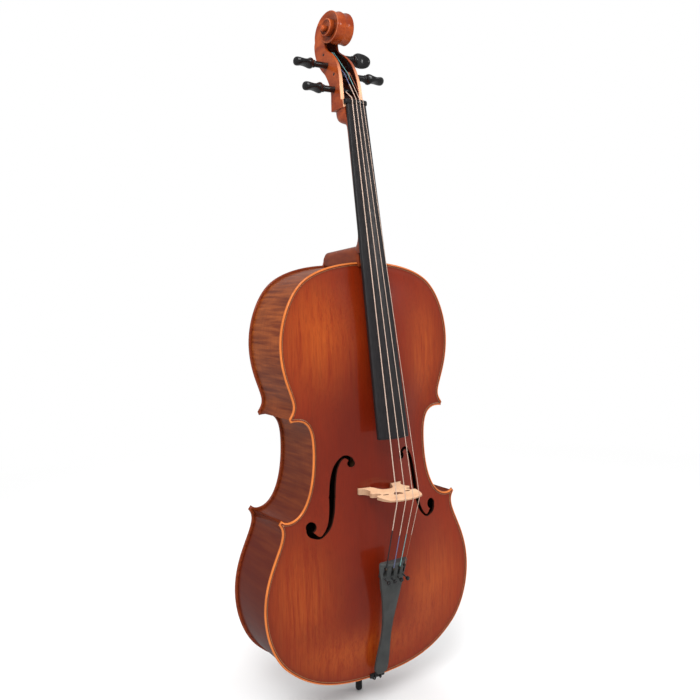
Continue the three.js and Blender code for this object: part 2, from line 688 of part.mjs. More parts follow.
// One peg along its own x axis: a tapered shaft, two collars and a flat paddle-shaped head.
function peg(cheek) {
  const headFrom = PEG_END - 38;
  const shaft = [
    [-cheek - 1.5, 4], [-cheek - 0.6, 4.6], [cheek + 2, 5.6], [headFrom - 5, 5.8],
    [headFrom - 4.5, 7], [headFrom - 2, 7], [headFrom - 1.5, 5.6],
  ].map(([x, radius]) => ({ x, wide: radius, thick: radius }));
  const head = [
    [2, 7.5, 7.5], [5, 10.5, 9.6], [9, 13, 8.4], [16, 14, 5.8], [22, 13.4, 5.6], [29, 12, 7],
    [34, 9.6, 7], [38, 5.5, 4.5],
  ].map(([x, wide, thick]) => ({ x: headFrom + x, wide, thick }));
  return loft([...shaft, ...head].map(({ x, wide, thick }) =>
    Array.from({ length: 12 }, (_, i) => {
      const a = (2 * Math.PI * (i + 0.5)) / 12;
      return vec(x, wide * Math.cos(a), thick * Math.sin(a));
    })));
}

// Three heads lie in line with the side view and the upper treble one is turned a quarter.
for (const { name, side, y, z } of PEGS) {
  const piece = place(`peg_${name}`, peg(pegboxHalf(z)), POLISHED_EBONY);
  piece.position.set(0, y, z);
  piece.rotation.set(name === 'D' ? Math.PI / 2 : 0, 0, side < 0 ? Math.PI : 0);
}

// ---- bridge -------------------------------------------------------------------------------
const bridgeTop = (x) => STRING_CROWN + BRIDGE_RADIUS - Math.sqrt(BRIDGE_RADIUS ** 2 - x ** 2);
const BRIDGE = { foot: 11, top: 2.8, topHalf: 33, footHalf: 45.5 };

// Drawn upright in the (x, height) plane; heights count from the crown of the top plate.
function bridge() {
  const base = -EDGE_PLANE - ARCH_HEIGHT;
  const foot = (x) => archHeight(x, BRIDGE_Z - BRIDGE.foot / 2) - ARCH_HEIGHT + 0.6;
  const half = new THREE.Path();
  half.moveTo(0, 25);
  half.bezierCurveTo(12, 25, 16, 16, 18, 8);
  half.lineTo(21, 3.5);
  half.lineTo(21, foot(21) + 0.3);
  half.lineTo(BRIDGE.footHalf, foot(BRIDGE.footHalf));
  half.lineTo(BRIDGE.footHalf, foot(BRIDGE.footHalf) + 3.5);
  half.quadraticCurveTo(36.5, 5, 35.5, 14);
  half.quadraticCurveTo(35, 24, 41, 28);
  half.quadraticCurveTo(41.5, 34, 35, 35);
  half.quadraticCurveTo(28, 36.5, 28.5, 42.5);
  half.quadraticCurveTo(30, 48, 36, 46.5);
  half.quadraticCurveTo(41, 46, 41, 52);
  half.quadraticCurveTo(40, 68, BRIDGE.topHalf, base - bridgeTop(BRIDGE.topHalf));
  const outer = half.getPoints(4);
  const crown = [0.66, 0.33].map((t) => {
    const x = t * BRIDGE.topHalf;
    return flat(x, base - bridgeTop(x));
  });
  const right = [...outer, ...crown];
  const top = flat(0, base - bridgeTop(0));
  const shape = new THREE.Shape([...right, top, ...mirrored(right.slice(1)).reverse()]);
  const heart = new THREE.Path();
  heart.moveTo(0, 41);
  heart.bezierCurveTo(4, 46, 9, 49, 9, 54);
  heart.bezierCurveTo(9, 59, 2, 60, 0, 54);
  heart.bezierCurveTo(-2, 60, -9, 59, -9, 54);
  heart.bezierCurveTo(-9, 49, -4, 46, 0, 41);
  shape.holes.push(new THREE.Path(heart.getPoints(4).slice(0, -1)));
  const options = { depth: BRIDGE.foot, bevelEnabled: false, curveSegments: 4 };
  const blank = new THREE.ExtrudeGeometry(shape, options);
  blank.rotateX(Math.PI); // heights now point to the front
  blank.translate(0, base, BRIDGE_Z + BRIDGE.foot / 2);
  const wedge = (x) => [
    vec(x, base + 15, BRIDGE_Z - BRIDGE.foot / 2 - 0.1),
    vec(x, base + 15, BRIDGE_Z + BRIDGE.foot / 2),
    vec(x, base - 4, BRIDGE_Z + BRIDGE.foot / 2),
    vec(x, STRING_CROWN - 2, BRIDGE_Z - BRIDGE.foot / 2 + 2 + BRIDGE.top),
    vec(x, STRING_CROWN - 2, BRIDGE_Z - BRIDGE.foot / 2 + 2),
  ];
  return toGeometry(toSolid(blank).intersect(toSolid(loft([wedge(-60), wedge(60)]))));
}

place('bridge', bridge(), BRIDGE_MAPLE);

// ---- tailpiece and string tuners ----------------------------------------------------------
// Drawn in its own frame: the top end at the origin, x across, y into the cello, -z along it.
const tail = new THREE.Group();
tail.position.set(0, TAILPIECE.y, TAILPIECE.z);
tail.rotation.x = TAILPIECE.tilt;
body.add(tail);
tail.updateMatrix();

const TAIL_RADIUS = 50; // of its arched front
const tailDrop = (x) => TAIL_RADIUS - Math.sqrt(TAIL_RADIUS ** 2 - x ** 2);
const TAIL_STATIONS = [
  { z: 0, half: 28.5, back: 12.5 }, { z: -1.5, half: 29.5, back: 12.5 }, { z: -26, half: 25.5, back: 12.5 },
  { z: -48, half: 21.8, back: 12.5 }, { z: -62, half: 19.5, back: 9 }, { z: -82, half: 16, back: 8 },
  { z: -104, half: 12.4, back: 7.5 }, { z: -128, half: 10, back: 7 }, { z: -150, half: 9.9, back: 7 },
  { z: -172, half: 12, back: 7 }, { z: -196, half: 13.7, back: 7 }, { z: -214, half: 14, back: 7.5 },
  { z: -224, half: 11.5, back: 8 }, { z: -TAILPIECE.length, half: 7, back: 7 },
];
const PIVOT = { y: 9.5, z: -13, radius: 1.4, half: 24.8 };
const TUNER_SLOT = { half: 2.75, top: -7, bottom: -24 };
const TUNER_SCREW = { z: -28.5, radius: 1.5, from: 15.6, to: -6.5 };

function tailpiece() {
  const blank = toSolid(loft(TAIL_STATIONS.map(({ z, half, back }) => {
    const top = Array.from({ length: 7 }, (_, i) => {
      const x = mix(half, -half, i / 6);
      return vec(x, tailDrop(x), z);
    });
    const edge = Math.max(back, tailDrop(half) + 2.5);
    return [...top, vec(-half, edge, z), vec(half, edge, z)];
  })));
  const slots = TUNER_X.map((x) =>
    box(x - TUNER_SLOT.half, x + TUNER_SLOT.half, -5, 20, TUNER_SLOT.bottom, TUNER_SLOT.top));
  const screwHoles = TUNER_X.map((x) =>
    rod(vec(x, -5, TUNER_SCREW.z), vec(x, 20, TUNER_SCREW.z), TUNER_SCREW.radius + 0.45, undefined, 12));
  const pivotHole = rod(
    vec(-PIVOT.half - GAP, PIVOT.y, PIVOT.z), vec(PIVOT.half + GAP, PIVOT.y, PIVOT.z),
    PIVOT.radius + 0.4, undefined, 12);
  return toGeometry(cut(blank, [...slots, ...screwHoles, pivotHole]));
}

place('tailpiece', tailpiece(), TAILPIECE_PLASTIC, tail);
const pin = rod(
  vec(-PIVOT.half, PIVOT.y, PIVOT.z), vec(PIVOT.half, PIVOT.y, PIVOT.z), PIVOT.radius, undefined, 12);
place('tuner_pivot_pin', pin, ROD_STEEL, tail);

// A bent lever: its short arm holds the string's end, its long arm lies behind the tailpiece
// and is pushed by the screw.
function tunerLever(x) {
  const face = tailDrop(x) + 1.4;
  const profile = [
    [face, -9.5], [face, -16.5], [7, -17.6], [15.2, -22.5], [16.4, -33.5], [19.6, -33.5], [18.4, -23],
    [13.6, -13], [12, -9], [7, -8.6],
  ];
  const width = TUNER_SLOT.half - 0.35;
  const blank = toSolid(loft([x - width, x + width].map((px) => profile.map(([y, z]) => vec(px, y, z)))));
  const bore = rod(
    vec(x - 5, PIVOT.y, PIVOT.z), vec(x + 5, PIVOT.y, PIVOT.z), PIVOT.radius + 0.4, undefined, 12);
  return toGeometry(cut(blank, [bore]));
}

// The milled head on the end of a tuner's screw.
function tunerKnob(x) {
  const { z, to } = TUNER_SCREW;
  const profile = [[0, 0], [2.4, 0], [3.2, 0.8], [3.2, 4.6], [2.4, 5.6], [0, 5.8]];
  const knob = new THREE.LatheGeometry(profile.map(([r, h]) => flat(r, h)), 14);
  knob.rotateX(Math.PI);
  knob.translate(x, to - GAP, z);
  return merged(knob);
}

TUNER_X.forEach((x, i) => {
  const { name } = STRINGS[i];
  const { z, radius, from, to } = TUNER_SCREW;
  place(`tuner_lever_${name}`, tunerLever(x), TUNER_METAL, tail);
  place(`tuner_screw_${name}`, rod(vec(x, to, z), vec(x, from, z), radius, undefined, 10), ROD_STEEL, tail);
  place(`tuner_knob_${name}`, tunerKnob(x), TUNER_METAL, tail);
});

// ---- strings ------------------------------------------------------------------------------
// A bent line that passes exactly through its points, one step per stretch.
class BentLine extends THREE.Curve {
  constructor(points) {
    super();
    this.points = points;
  }

  getPoint(t) {
    const place = t * (this.points.length - 1);
    const i = Math.min(Math.floor(place), this.points.length - 2);
    return this.points[i].clone().lerp(this.points[i + 1], place - i);
  }

  getPointAt(u) {
    return this.getPoint(u);
  }

  getTangentAt(u) {
    const last = this.points.length - 1;
    const i = Math.round(u * last);
    const heading = (a, b) => this.points[b].clone().sub(this.points[a]).normalize();
    const arriving = heading(Math.max(i - 1, 0), Math.max(i, 1));
    const leaving = heading(Math.min(i, last - 1), Math.min(i + 1, last));
    return arriving.add(leaving).normalize();
  }
}

// Each string runs from its tuner over the bridge and the nut, and ends on its peg. Those of
// the two upper pegs pass in front of the lower treble peg.
function string({ name, radius, bridgeX, nutX }, tunerX) {
  const peg = PEGS.find((each) => each.name === name);
  const tailEnd = vec(tunerX, tailDrop(tunerX) - 1.4, -8).applyMatrix4(tail.matrix);
  const clear = radius + GAP;
  const nutY = NUT_TOP + 0.0085 * nutX ** 2 - clear;
  const points = [
    tailEnd,
    vec(bridgeX, bridgeTop(bridgeX) - clear, BRIDGE_Z - BRIDGE.foot / 2 + 1),
    vec(bridgeX, bridgeTop(bridgeX) - clear, BRIDGE_Z),
    vec(nutX, nutY, NECK_TOP.z),
    vec(nutX, nutY, NECK_TOP.z + NUT.height / 2),
    vec(nutX, nutY + 2.2, NECK_TOP.z + NUT.height + 1),
  ];
  const inside = Math.sign(nutX) * Math.min(Math.abs(nutX), pegboxHalf(peg.z) - 10.5);
  if (name === 'G' || name === 'D') points.push(vec(nutX, -9, 1094));
  const last = points.at(-1);
  const run = Math.hypot(peg.y - last.y, peg.z - last.z);
  const wrap = (6.3 + clear) / run; // the string meets its peg's front side
  points.push(vec(inside, peg.y - (peg.z - last.z) * wrap, peg.z + (peg.y - last.y) * wrap));
  return cord(new BentLine(points), radius, points.length - 1, 6);
}

STRINGS.forEach((each, i) => place(`string_${each.name}`, string(each, TUNER_X[i]), STRING_STEEL));

// ---- tailgut and endpin -------------------------------------------------------------------
const GUT_RADIUS = 1.3;

// A loop from under the tailpiece, over the saddle and round the neck of the endpin's socket.
function tailgut() {
  const front = -EDGE_PLANE - SADDLE.proud - GUT_RADIUS - GAP;
  const round = SOCKET.neck + GUT_RADIUS + 0.9;
  const bends = [195, 169, 143, 117].map((degrees) => THREE.MathUtils.degToRad(degrees));
  const half = [
    vec(-6, 11.2, -219).applyMatrix4(tail.matrix),
    vec(-6, front, 11),
    vec(-6, front - 0.2, 2.5),
    vec(-6.5, front + 3, -2.6),
    vec(-9, -50, -3.6),
    ...bends.map((a) => vec(round * Math.cos(a), round * Math.sin(a), -4.3)),
  ];
  const end = vec(0, round, -4.3);
  const other = half.map((p) => vec(-p.x, p.y, p.z)).reverse();
  return cord(new BentLine([...half, end, ...other]), GUT_RADIUS, 2 * half.length, 6);
}

place('tailgut', tailgut(), CORD);

const upright = (points, segments) => {
  const geometry = new THREE.LatheGeometry(points.map(([r, z]) => flat(r, z)), segments);
  geometry.rotateX(Math.PI / 2);
  return merged(geometry);
};
const CLAMP_Z = -13;

function endpinSocket() {
  const { plug, tip, depth, shoulder, neck, collar, bore } = SOCKET;
  const turned = upright([
    [bore, -19], [collar, -19], [collar, -7.2], [neck, -6.8], [neck, -1.6], [shoulder, -1.2],
    [shoulder, 2.6], [plug, 3.2], [tip, depth], [bore, depth], [bore, -19],
  ], 20);
  const clampHole = rod(vec(0, 0, CLAMP_Z), vec(0, 30, CLAMP_Z), 2.4, undefined, 12);
  return toGeometry(cut(toSolid(turned), [clampHole]));
}

function clampScrew() {
  return toGeometry(joined([
    rod(vec(0, 4.9, CLAMP_Z), vec(0, 20, CLAMP_Z), 1.9, undefined, 10),
    rod(vec(0, 17, CLAMP_Z), vec(0, 21.5, CLAMP_Z), 4.2, undefined, 14),
    box(-7.5, 7.5, 18, 20.4, CLAMP_Z - 3.6, CLAMP_Z + 3.6),
  ]));
}

const ENDPIN = { radius: 4, from: -46, to: 312 };
const FOOT = { radius: 6.3, height: 20, sole: 4 };

function rubberFoot() {
  const { radius, height, sole } = FOOT;
  const wall = ENDPIN.radius + 0.35;
  return upright([
    [0, 0], [sole, 0], [radius - 0.7, 1.8], [radius, 4], [radius, height - 1.5], [radius - 1.2, height],
    [wall, height], [wall, BODY_BOTTOM + ENDPIN.from - GAP], [0, BODY_BOTTOM + ENDPIN.from - GAP],
  ], 20);
}

place('endpin_socket', endpinSocket(), POLISHED_EBONY);
place('endpin_clamp_screw', clampScrew(), ROD_STEEL);
place('endpin_rod', rod(vec(0, 0, ENDPIN.from), vec(0, 0, ENDPIN.to), ENDPIN.radius), ROD_STEEL);
place('endpin_rubber_foot', rubberFoot(), RUBBER, cello);

export default cello;
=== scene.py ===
import math

import bmesh
import bpy
import numpy as np
from mathutils import Matrix, Vector
from mathutils.geometry import delaunay_2d_cdt


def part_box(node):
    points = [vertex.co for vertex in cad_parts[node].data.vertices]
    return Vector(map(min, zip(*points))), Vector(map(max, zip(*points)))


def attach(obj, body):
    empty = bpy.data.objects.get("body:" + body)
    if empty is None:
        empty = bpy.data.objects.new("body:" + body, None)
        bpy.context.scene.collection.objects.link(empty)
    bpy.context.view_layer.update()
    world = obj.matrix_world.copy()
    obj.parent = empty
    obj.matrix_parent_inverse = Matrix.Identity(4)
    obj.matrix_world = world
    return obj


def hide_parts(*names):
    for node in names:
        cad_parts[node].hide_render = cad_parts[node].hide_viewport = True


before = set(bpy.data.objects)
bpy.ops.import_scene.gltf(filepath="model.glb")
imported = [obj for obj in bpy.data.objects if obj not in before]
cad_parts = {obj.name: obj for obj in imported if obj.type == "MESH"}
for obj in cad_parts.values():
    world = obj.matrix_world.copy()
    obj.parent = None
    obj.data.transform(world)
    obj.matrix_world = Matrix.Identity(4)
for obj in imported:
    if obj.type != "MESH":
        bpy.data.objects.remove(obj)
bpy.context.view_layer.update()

# A full-size cello over its CAD frame. Shapes are worked out in millimetres above the body's
# lower edge, and become metres above the floor when a piece is made.
# Front -Y, treble side +X, up +Z.

MM = 0.001
ROOT = "cello"
BODY_LENGTH = 755.0
HALF_RIB = 58.0
EDGE = 4.5  # thickness of the plates at their edge
EDGE_PLANE = HALF_RIB + EDGE
OVERHANG = 4.5
RIB_THICKNESS = 1.5
BODY_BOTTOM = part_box("back_plate")[0][2] / MM
ARCH_HEIGHT = 26.0
ARCH_MARGIN = 9.0
UPPER_BOUT = (177.0, 612.0)
WAIST = (119.5, 431.0)
LOWER_BOUT = (220.5, 167.0)
BRIDGE_Z = 355.0
STRING_CROWN = -174.0
BRIDGE_RADIUS = 75.0
NECK_TOP = (-35.0, 1032.0)
BOARD_END = (-127.0, 451.0)
BOARD = {"nut_half": 19.5, "end_half": 31.5, "edge": 7.0, "camber": 63.0}
VOLUTE = (18.5, 1176.5)
TAIL = {"y": -134.5, "z": 232.0, "length": 228.0, "tilt": 0.244}
STRINGS = {  # silk: length of the coloured thread at the tuner
    "C": {"radius": 0.9, "bridge_x": -23.5, "nut_x": -11.5, "tuner_x": -19.8, "silk": 74},
    "G": {"radius": 0.72, "bridge_x": -8.0, "nut_x": -3.9, "tuner_x": -6.6, "silk": 66},
    "D": {"radius": 0.58, "bridge_x": 8.0, "nut_x": 3.9, "tuner_x": 6.6, "silk": 62},
    "A": {"radius": 0.48, "bridge_x": 23.5, "nut_x": 11.5, "tuner_x": 19.8, "silk": 58},
}
PEGS = {
    "C": {"side": -1, "y": -3.0, "z": 1064.0},
    "A": {"side": 1, "y": -0.5, "z": 1092.0},
    "G": {"side": -1, "y": 27.5, "z": 1114.5},
    "D": {"side": 1, "y": 42.0, "z": 1138.0},
}


# ---- small tools ----
def mix(a, b, t):
    return a + (b - a) * t


def smooth(t):
    """0 to 1 with a soft start and end, for one number."""
    t = min(max(t, 0.0), 1.0)
    return t * t * (3.0 - 2.0 * t)


def smoother(t):
    """A softer step still, for rows of numbers."""
    t = np.clip(t, 0.0, 1.0)
    return t ** 3 * (t * (6.0 * t - 15.0) + 10.0)


def bump_at(value, centre, width):
    return np.exp(-(((value - centre) / width) ** 2))


def turns(count):
    """Even angles once round."""
    return np.arange(count) * 2 * math.pi / count


def bezier(a, b, c, d, places):
    """Points of a cubic curve with the handles b and c."""
    return [
        a * (1 - t) ** 3 + b * 3 * (1 - t) ** 2 * t + c * 3 * (1 - t) * t ** 2 + d * t ** 3
        for t in places
    ]


def both_halves(half):
    """A closed loop from its right half, which starts and ends on the centre line."""
    return np.vstack([half, half[1:-1][::-1] * [-1, 1]])


def add_object(name, data):
    added = bpy.data.objects.new(name, data)
    bpy.context.scene.collection.objects.link(added)
    return added


def write_mark(mesh, name, values):
    layer = mesh.attributes.new(name, "FLOAT", "POINT")
    layer.data.foreach_set("value", np.array(values, dtype=np.float32))


def rounded_rows(rows, count):
    """A row of number tuples, drawn through with smooth curves (Catmull-Rom)."""
    rows = np.array(rows, dtype=float)
    last = len(rows) - 1
    result = []
    for place in np.linspace(0, last, count):
        i = min(int(place), last - 1)
        t = place - i
        a, b = rows[i], rows[i + 1]
        before = rows[i - 1] if i else 2 * a - b
        after = rows[i + 2] if i + 2 <= last else 2 * b - a
        result.append(0.5 * (
            2 * a + (b - before) * t + (2 * before - 5 * a + 4 * b - after) * t ** 2
            + (3 * a - before - 3 * b + after) * t ** 3))
    return np.array(result)


class Shape:
    """A mesh under construction: points, faces, a material number per face, marks per point."""

    def __init__(self):
        self.points = []
        self.faces = []
        self.face_materials = []
        self.marks = []

    def add(self, points, faces, material=0, marks=None):
        start = len(self.points)
        self.points += [tuple(p) for p in points]
        self.faces += [tuple(start + i for i in face) for face in faces]
        self.face_materials += [material] * len(faces)
        self.marks += list(marks) if marks is not None else [0.0] * len(points)

    def skin(self, rings, material=0, marks=None, closed=False):
        """A skin over rings of equal point counts, capped at both ends unless closed."""
        count = len(rings[0])
        points = [p for ring in rings for p in ring]
        faces = []
        rows = len(rings)
        for row in range(rows if closed else rows - 1):
            low, high = row * count, ((row + 1) % rows) * count
            for i in range(count):
                j = (i + 1) % count
                faces.append((low + i, low + j, high + j, high + i))
        if not closed:
            faces.append(tuple(reversed(range(count))))
            faces.append(tuple(range((rows - 1) * count, rows * count)))
        self.add(points, faces, material, marks)

    def mesh(self, name):
        """The points and faces in metres, every face turned outwards."""
        mesh = bpy.data.meshes.new(name)
        points = (np.array(self.points, dtype=float) + [0.0, 0.0, BODY_BOTTOM]) * MM
        mesh.from_pydata(points.tolist(), [], self.faces)
        work = bmesh.new()
        work.from_mesh(mesh)
        bmesh.ops.recalc_face_normals(work, faces=work.faces)
        work.to_mesh(mesh)
        work.free()
        return mesh

    def make(self, name, materials, body=ROOT, sharp=32):
        """The finished piece, in place of the CAD node of the same name."""
        mesh = self.mesh(name)
        for material in materials:
            mesh.materials.append(material)
        mesh.polygons.foreach_set("material_index", self.face_materials)
        write_mark(mesh, "mark", self.marks)
        mesh.polygons.foreach_set("use_smooth", [True] * len(mesh.polygons))
        mesh.set_sharp_from_angle(angle=math.radians(sharp))
        piece = add_object(name, mesh)
        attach(piece, body)
        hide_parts(name)
        return piece


def skinned(name, rings, material, body=ROOT, sharp=32):
    """A piece that is one skin over a row of rings."""
    shape = Shape()
    shape.skin(rings)
    return shape.make(name, [material], body, sharp)


ANY_DIRECTION = (0.31, 0.83, 0.46)  # not along any tube's start


def circle(x, z, radius, count):
    """Points round a centre in a plane."""
    angles = turns(count)
    return np.column_stack([x + radius * np.cos(angles), z + radius * np.sin(angles)])


def tube_rings(path, radii, sides):
    """Rings round a path, without twist, with one radius per point."""
    path = np.array(path, dtype=float)
    ahead = np.gradient(path, axis=0)
    ahead /= np.linalg.norm(ahead, axis=1)[:, None]
    side = np.cross(ahead[0], ANY_DIRECTION)
    rings = []
    for centre, direction, r in zip(path, ahead, radii):
        side = side - direction * side.dot(direction)
        side /= np.linalg.norm(side)
        up = np.cross(direction, side)
        rings.append([
            centre + r * (math.cos(a) * side + math.sin(a) * up) for a in turns(sides)])
    return rings


def lathe_rings(profile, sides, place):
    """Rings of a turned profile of (radius, length along the axis), put in place by a function."""
    return [
        [place(r * math.cos(a), r * math.sin(a), along) for a in turns(sides)]
        for r, along in profile
    ]


# ---- materials ----
class Finish:
    """A procedural material, built up node by node on the object's own coordinates."""

    def __init__(self, name, roughness=0.5, metallic=0.0, coat=0.0, coat_roughness=0.08):
        self.material = bpy.data.materials.new(name)
        self.material.use_nodes = True
        self.nodes = self.material.node_tree.nodes
        self.links = self.material.node_tree.links
        self.shader = self.nodes["Principled BSDF"]
        self.shader.inputs["Roughness"].default_value = roughness
        self.shader.inputs["Metallic"].default_value = metallic
        self.shader.inputs["Coat Weight"].default_value = coat
        self.shader.inputs["Coat Roughness"].default_value = coat_roughness
        self.place = self.nodes.new("ShaderNodeTexCoord").outputs["Object"]

    def feed(self, socket, value):
        """Links another node's output to an input, or sets the input's own value."""
        if isinstance(value, bpy.types.NodeSocket):
            self.links.new(value, socket)
        else:
            socket.default_value = value

    def node(self, kind, inputs=(), **settings):
        node = self.nodes.new(kind)
        for key, value in settings.items():
            setattr(node, key, value)
        for socket, value in dict(inputs).items():
            self.feed(node.inputs[socket], value)
        return node

    def stretched(self, x, y, z, tilt=0.0):
        """The object's coordinates turned about y by tilt, then stretched."""
        place = self.place
        if tilt:
            turned = {"Vector": place, "Rotation": (0.0, tilt, 0.0)}
            place = self.node("ShaderNodeMapping", turned).outputs["Vector"]
        return self.node("ShaderNodeMapping", {"Vector": place, "Scale": (x, y, z)}).outputs[0]

    def noise(self, vector, scale, detail=3.0, roughness=0.5, distortion=0.0):
        inputs = {
            "Vector": vector, "Scale": scale, "Detail": detail, "Roughness": roughness,
            "Distortion": distortion,
        }
        return self.node("ShaderNodeTexNoise", inputs).outputs["Fac"]

    def attribute(self, name):
        return self.node("ShaderNodeAttribute", attribute_name=name).outputs["Fac"]

    def span(self, value, low, high, to_low=0.0, to_high=1.0):
        inputs = {0: value, 1: low, 2: high, 3: to_low, 4: to_high}
        return self.node("ShaderNodeMapRange", inputs).outputs[0]

    def painted_crevice_shade(self, reach):
        """Painted shade: 0 in the open, up to 1 deep between surfaces closer than reach."""
        open_sky = self.node(
            "ShaderNodeAmbientOcclusion", {"Distance": reach}, samples=8).outputs["AO"]
        return self.span(open_sky, 0.85, 0.3)

    def maths(self, operation, a, b):
        return self.node("ShaderNodeMath", {0: a, 1: b}, operation=operation).outputs[0]

    def blend(self, factor, a, b, mode="MIX"):
        """The colour a, covered by the colour b as far as factor says."""
        inputs = {0: factor, 6: a, 7: b}
        return self.node(
            "ShaderNodeMix", inputs, data_type="RGBA", blend_type=mode).outputs[2]

    def colour(self, value):
        self.feed(self.shader.inputs["Base Color"], value)

    def rough(self, value):
        self.feed(self.shader.inputs["Roughness"], value)

    def relief(self, height, distance, strength=1.0):
        inputs = {"Height": height, "Distance": distance, "Strength": strength}
        normal = self.node("ShaderNodeBump", inputs).outputs["Normal"]
        self.links.new(normal, self.shader.inputs["Normal"])


def rgb(r, g, b):
    """A display colour, 0 to 255, as linear light."""
    def linear(v):
        v /= 255.0
        return v / 12.92 if v <= 0.04045 else ((v + 0.055) / 1.055) ** 2.4
    return (linear(r), linear(g), linear(b), 1.0)


VARNISH_SHINE = 0.15  # of the wood under the clear coat


def varnished_top():
    """Red-brown varnish over straight spruce grain, worn lighter on the bouts and the edge; where
    the edge faces the front it is paler still, a painted highlight.
    """
    f = Finish("varnished_spruce", roughness=0.34, coat=0.6, coat_roughness=0.06)
    f.shader.inputs["Specular IOR Level"].default_value = VARNISH_SHINE
    fine = f.noise(f.stretched(1, 1, 0.03), 900, detail=3, roughness=0.6)
    streak = f.noise(f.stretched(1, 1, 0.05), 150, detail=4, roughness=0.7)
    cloud = f.noise(f.stretched(1, 1, 0.6), 4.5, detail=4)
    base = f.blend(f.span(cloud, 0.35, 0.66), rgb(104, 25, 6), rgb(128, 37, 10))
    worn = f.blend(f.span(streak, 0.3, 0.72), rgb(132, 42, 8), rgb(196, 92, 24))
    glow = f.maths("MULTIPLY", f.attribute("glow"), f.span(cloud, 0.3, 0.7, 0.55, 0.95))
    body = f.blend(glow, base, worn)
    body = f.blend(f.span(streak, 0.4, 0.72, 0.0, 0.3), body, rgb(92, 26, 10))
    body = f.blend(f.span(fine, 0.48, 0.68, 0.0, 0.3), body, rgb(70, 18, 6))
    rim = f.attribute("rim")
    body = f.blend(f.span(rim, 5.5, 14.0, 0.3, 0.0), body, rgb(92, 30, 10))
    # The edge band is pale only where it faces the front: wear with a painted highlight.
    facing = f.node("ShaderNodeSeparateXYZ", {0: f.node("ShaderNodeNewGeometry").outputs["Normal"]})
    front = f.span(facing.outputs["Y"], 0.05, -0.4)
    wear_and_highlight = f.span(f.noise(f.place, 16, detail=3), 0.35, 0.65, 0.6, 0.95)
    edge = f.maths("MULTIPLY", f.span(rim, 2.2, 3.4, 1.0, 0.0), f.maths("MULTIPLY", front, wear_and_highlight))
    body = f.blend(f.span(rim, 2.6, 3.6, 0.8, 0.0), body, rgb(128, 52, 18))
    f.colour(f.blend(edge, body, rgb(222, 126, 58)))
    f.rough(f.span(streak, 0.2, 0.8, 0.28, 0.4))
    f.relief(f.maths("ADD", fine, f.maths("MULTIPLY", streak, 0.6)), 0.0001, 0.3)
    return f.material


def flame(f, along, scale, tilt):
    """The wavy cross stripes of flamed maple; along stretches them and tilt turns them."""
    wide = f.noise(f.stretched(*along, tilt), scale, detail=3, roughness=0.55, distortion=0.3)
    return f.span(wide, 0.34, 0.66)


def varnished_maple(
        name, dark, light, edge, along, scale, grain=(1, 1, 0.04), rim=False, lower=0.0,
        coat=0.5, tilt=0.0):
    """Varnish over flamed maple. A mark over 0 is a worn edge, under 0 a dark hollow.

    A plate, which has a rim, is matched about its centre joint; lower paints shade over the lower
    body.
    """
    f = Finish(name, roughness=0.32, coat=coat, coat_roughness=0.07)
    f.shader.inputs["Specular IOR Level"].default_value = VARNISH_SHINE
    if rim:
        mirrored = f.node("ShaderNodeVectorMath", {0: f.place}, operation="ABSOLUTE")
        f.place = mirrored.outputs["Vector"]
    stripes = flame(f, along, scale, tilt)
    fibre = f.noise(f.stretched(*grain), 420, detail=3, roughness=0.6)
    cloud = f.noise(f.place, 9, detail=3)
    body = f.blend(stripes, dark, light)
    body = f.blend(f.span(fibre, 0.45, 0.75, 0.0, 0.4), body, dark)
    shade = f.blend(f.span(cloud, 0.3, 0.7), (0.72, 0.66, 0.62, 1), (1.12, 1.1, 1.08, 1))
    body = f.blend(1.0, body, shade, "MULTIPLY")
    place = f.node("ShaderNodeSeparateXYZ", {0: f.place}).outputs
    # Painted shade, darker towards the bottom as far as lower says.
    body = f.blend(f.span(place["Z"], 0.7, 0.28, 0.0, lower), body, rgb(84, 20, 6))
    if rim:
        body = f.blend(f.span(place["X"], 0.0001, 0.0004, 0.75, 0.0), body, rgb(30, 12, 8))
        worn = f.span(f.attribute("rim"), 3.0, 4.2, 0.7, 0.0)
    else:
        worn = f.attribute("mark")
        hollow = f.span(worn, 0.0, -0.8, 0.0, 0.97)
        body = f.blend(hollow, body, rgb(16, 9, 8))
        # Painted shade in the crevices, with the dark old varnish that gathers there.
        body = f.blend(f.painted_crevice_shade(0.014), body, rgb(58, 18, 8))
    f.colour(f.blend(worn, body, edge))
    f.rough(f.span(cloud, 0.3, 0.7, 0.26, 0.4))
    f.relief(fibre, 0.0001, 0.3)
    return f.material


def plain_wood(name, dark, light, scale=260, roughness=0.6, coat=0.0, stretch=(1, 1, 0.05)):
    f = Finish(name, roughness=roughness, coat=coat)
    fibre = f.noise(f.stretched(*stretch), scale, detail=4, roughness=0.6)
    cloud = f.noise(f.place, 14, detail=3)
    body = f.blend(f.span(fibre, 0.35, 0.68), light, dark)
    f.colour(f.blend(f.span(cloud, 0.35, 0.7, 0.0, 0.35), body, dark))
    f.rough(f.span(fibre, 0.3, 0.7, roughness - 0.06, roughness + 0.08))
    f.relief(fibre, 0.0001, 0.35)
    return f.material


def bridge_wood():
    """Pale maple with short darker flecks, and painted shade in its crevices and on its sawn walls.
    """
    f = Finish("bridge_maple", roughness=0.55)
    fleck = f.noise(f.stretched(0.25, 1, 1), 700, detail=2, roughness=0.7)
    cloud = f.noise(f.place, 40, detail=3)
    body = f.blend(f.span(cloud, 0.3, 0.7), rgb(238, 190, 150), rgb(248, 208, 170))
    body = f.blend(f.span(fleck, 0.56, 0.68, 0.0, 0.5), body, rgb(196, 130, 88))
    # Painted shade in the bridge's crevices.
    body = f.blend(f.painted_crevice_shade(0.012), body, rgb(150, 92, 58))
    # The mark paints shade on the sawn walls, outside and in the holes.
    f.colour(f.blend(f.attribute("mark"), body, rgb(104, 58, 34)))
    f.relief(fleck, 0.0001, 0.3)
    return f.material


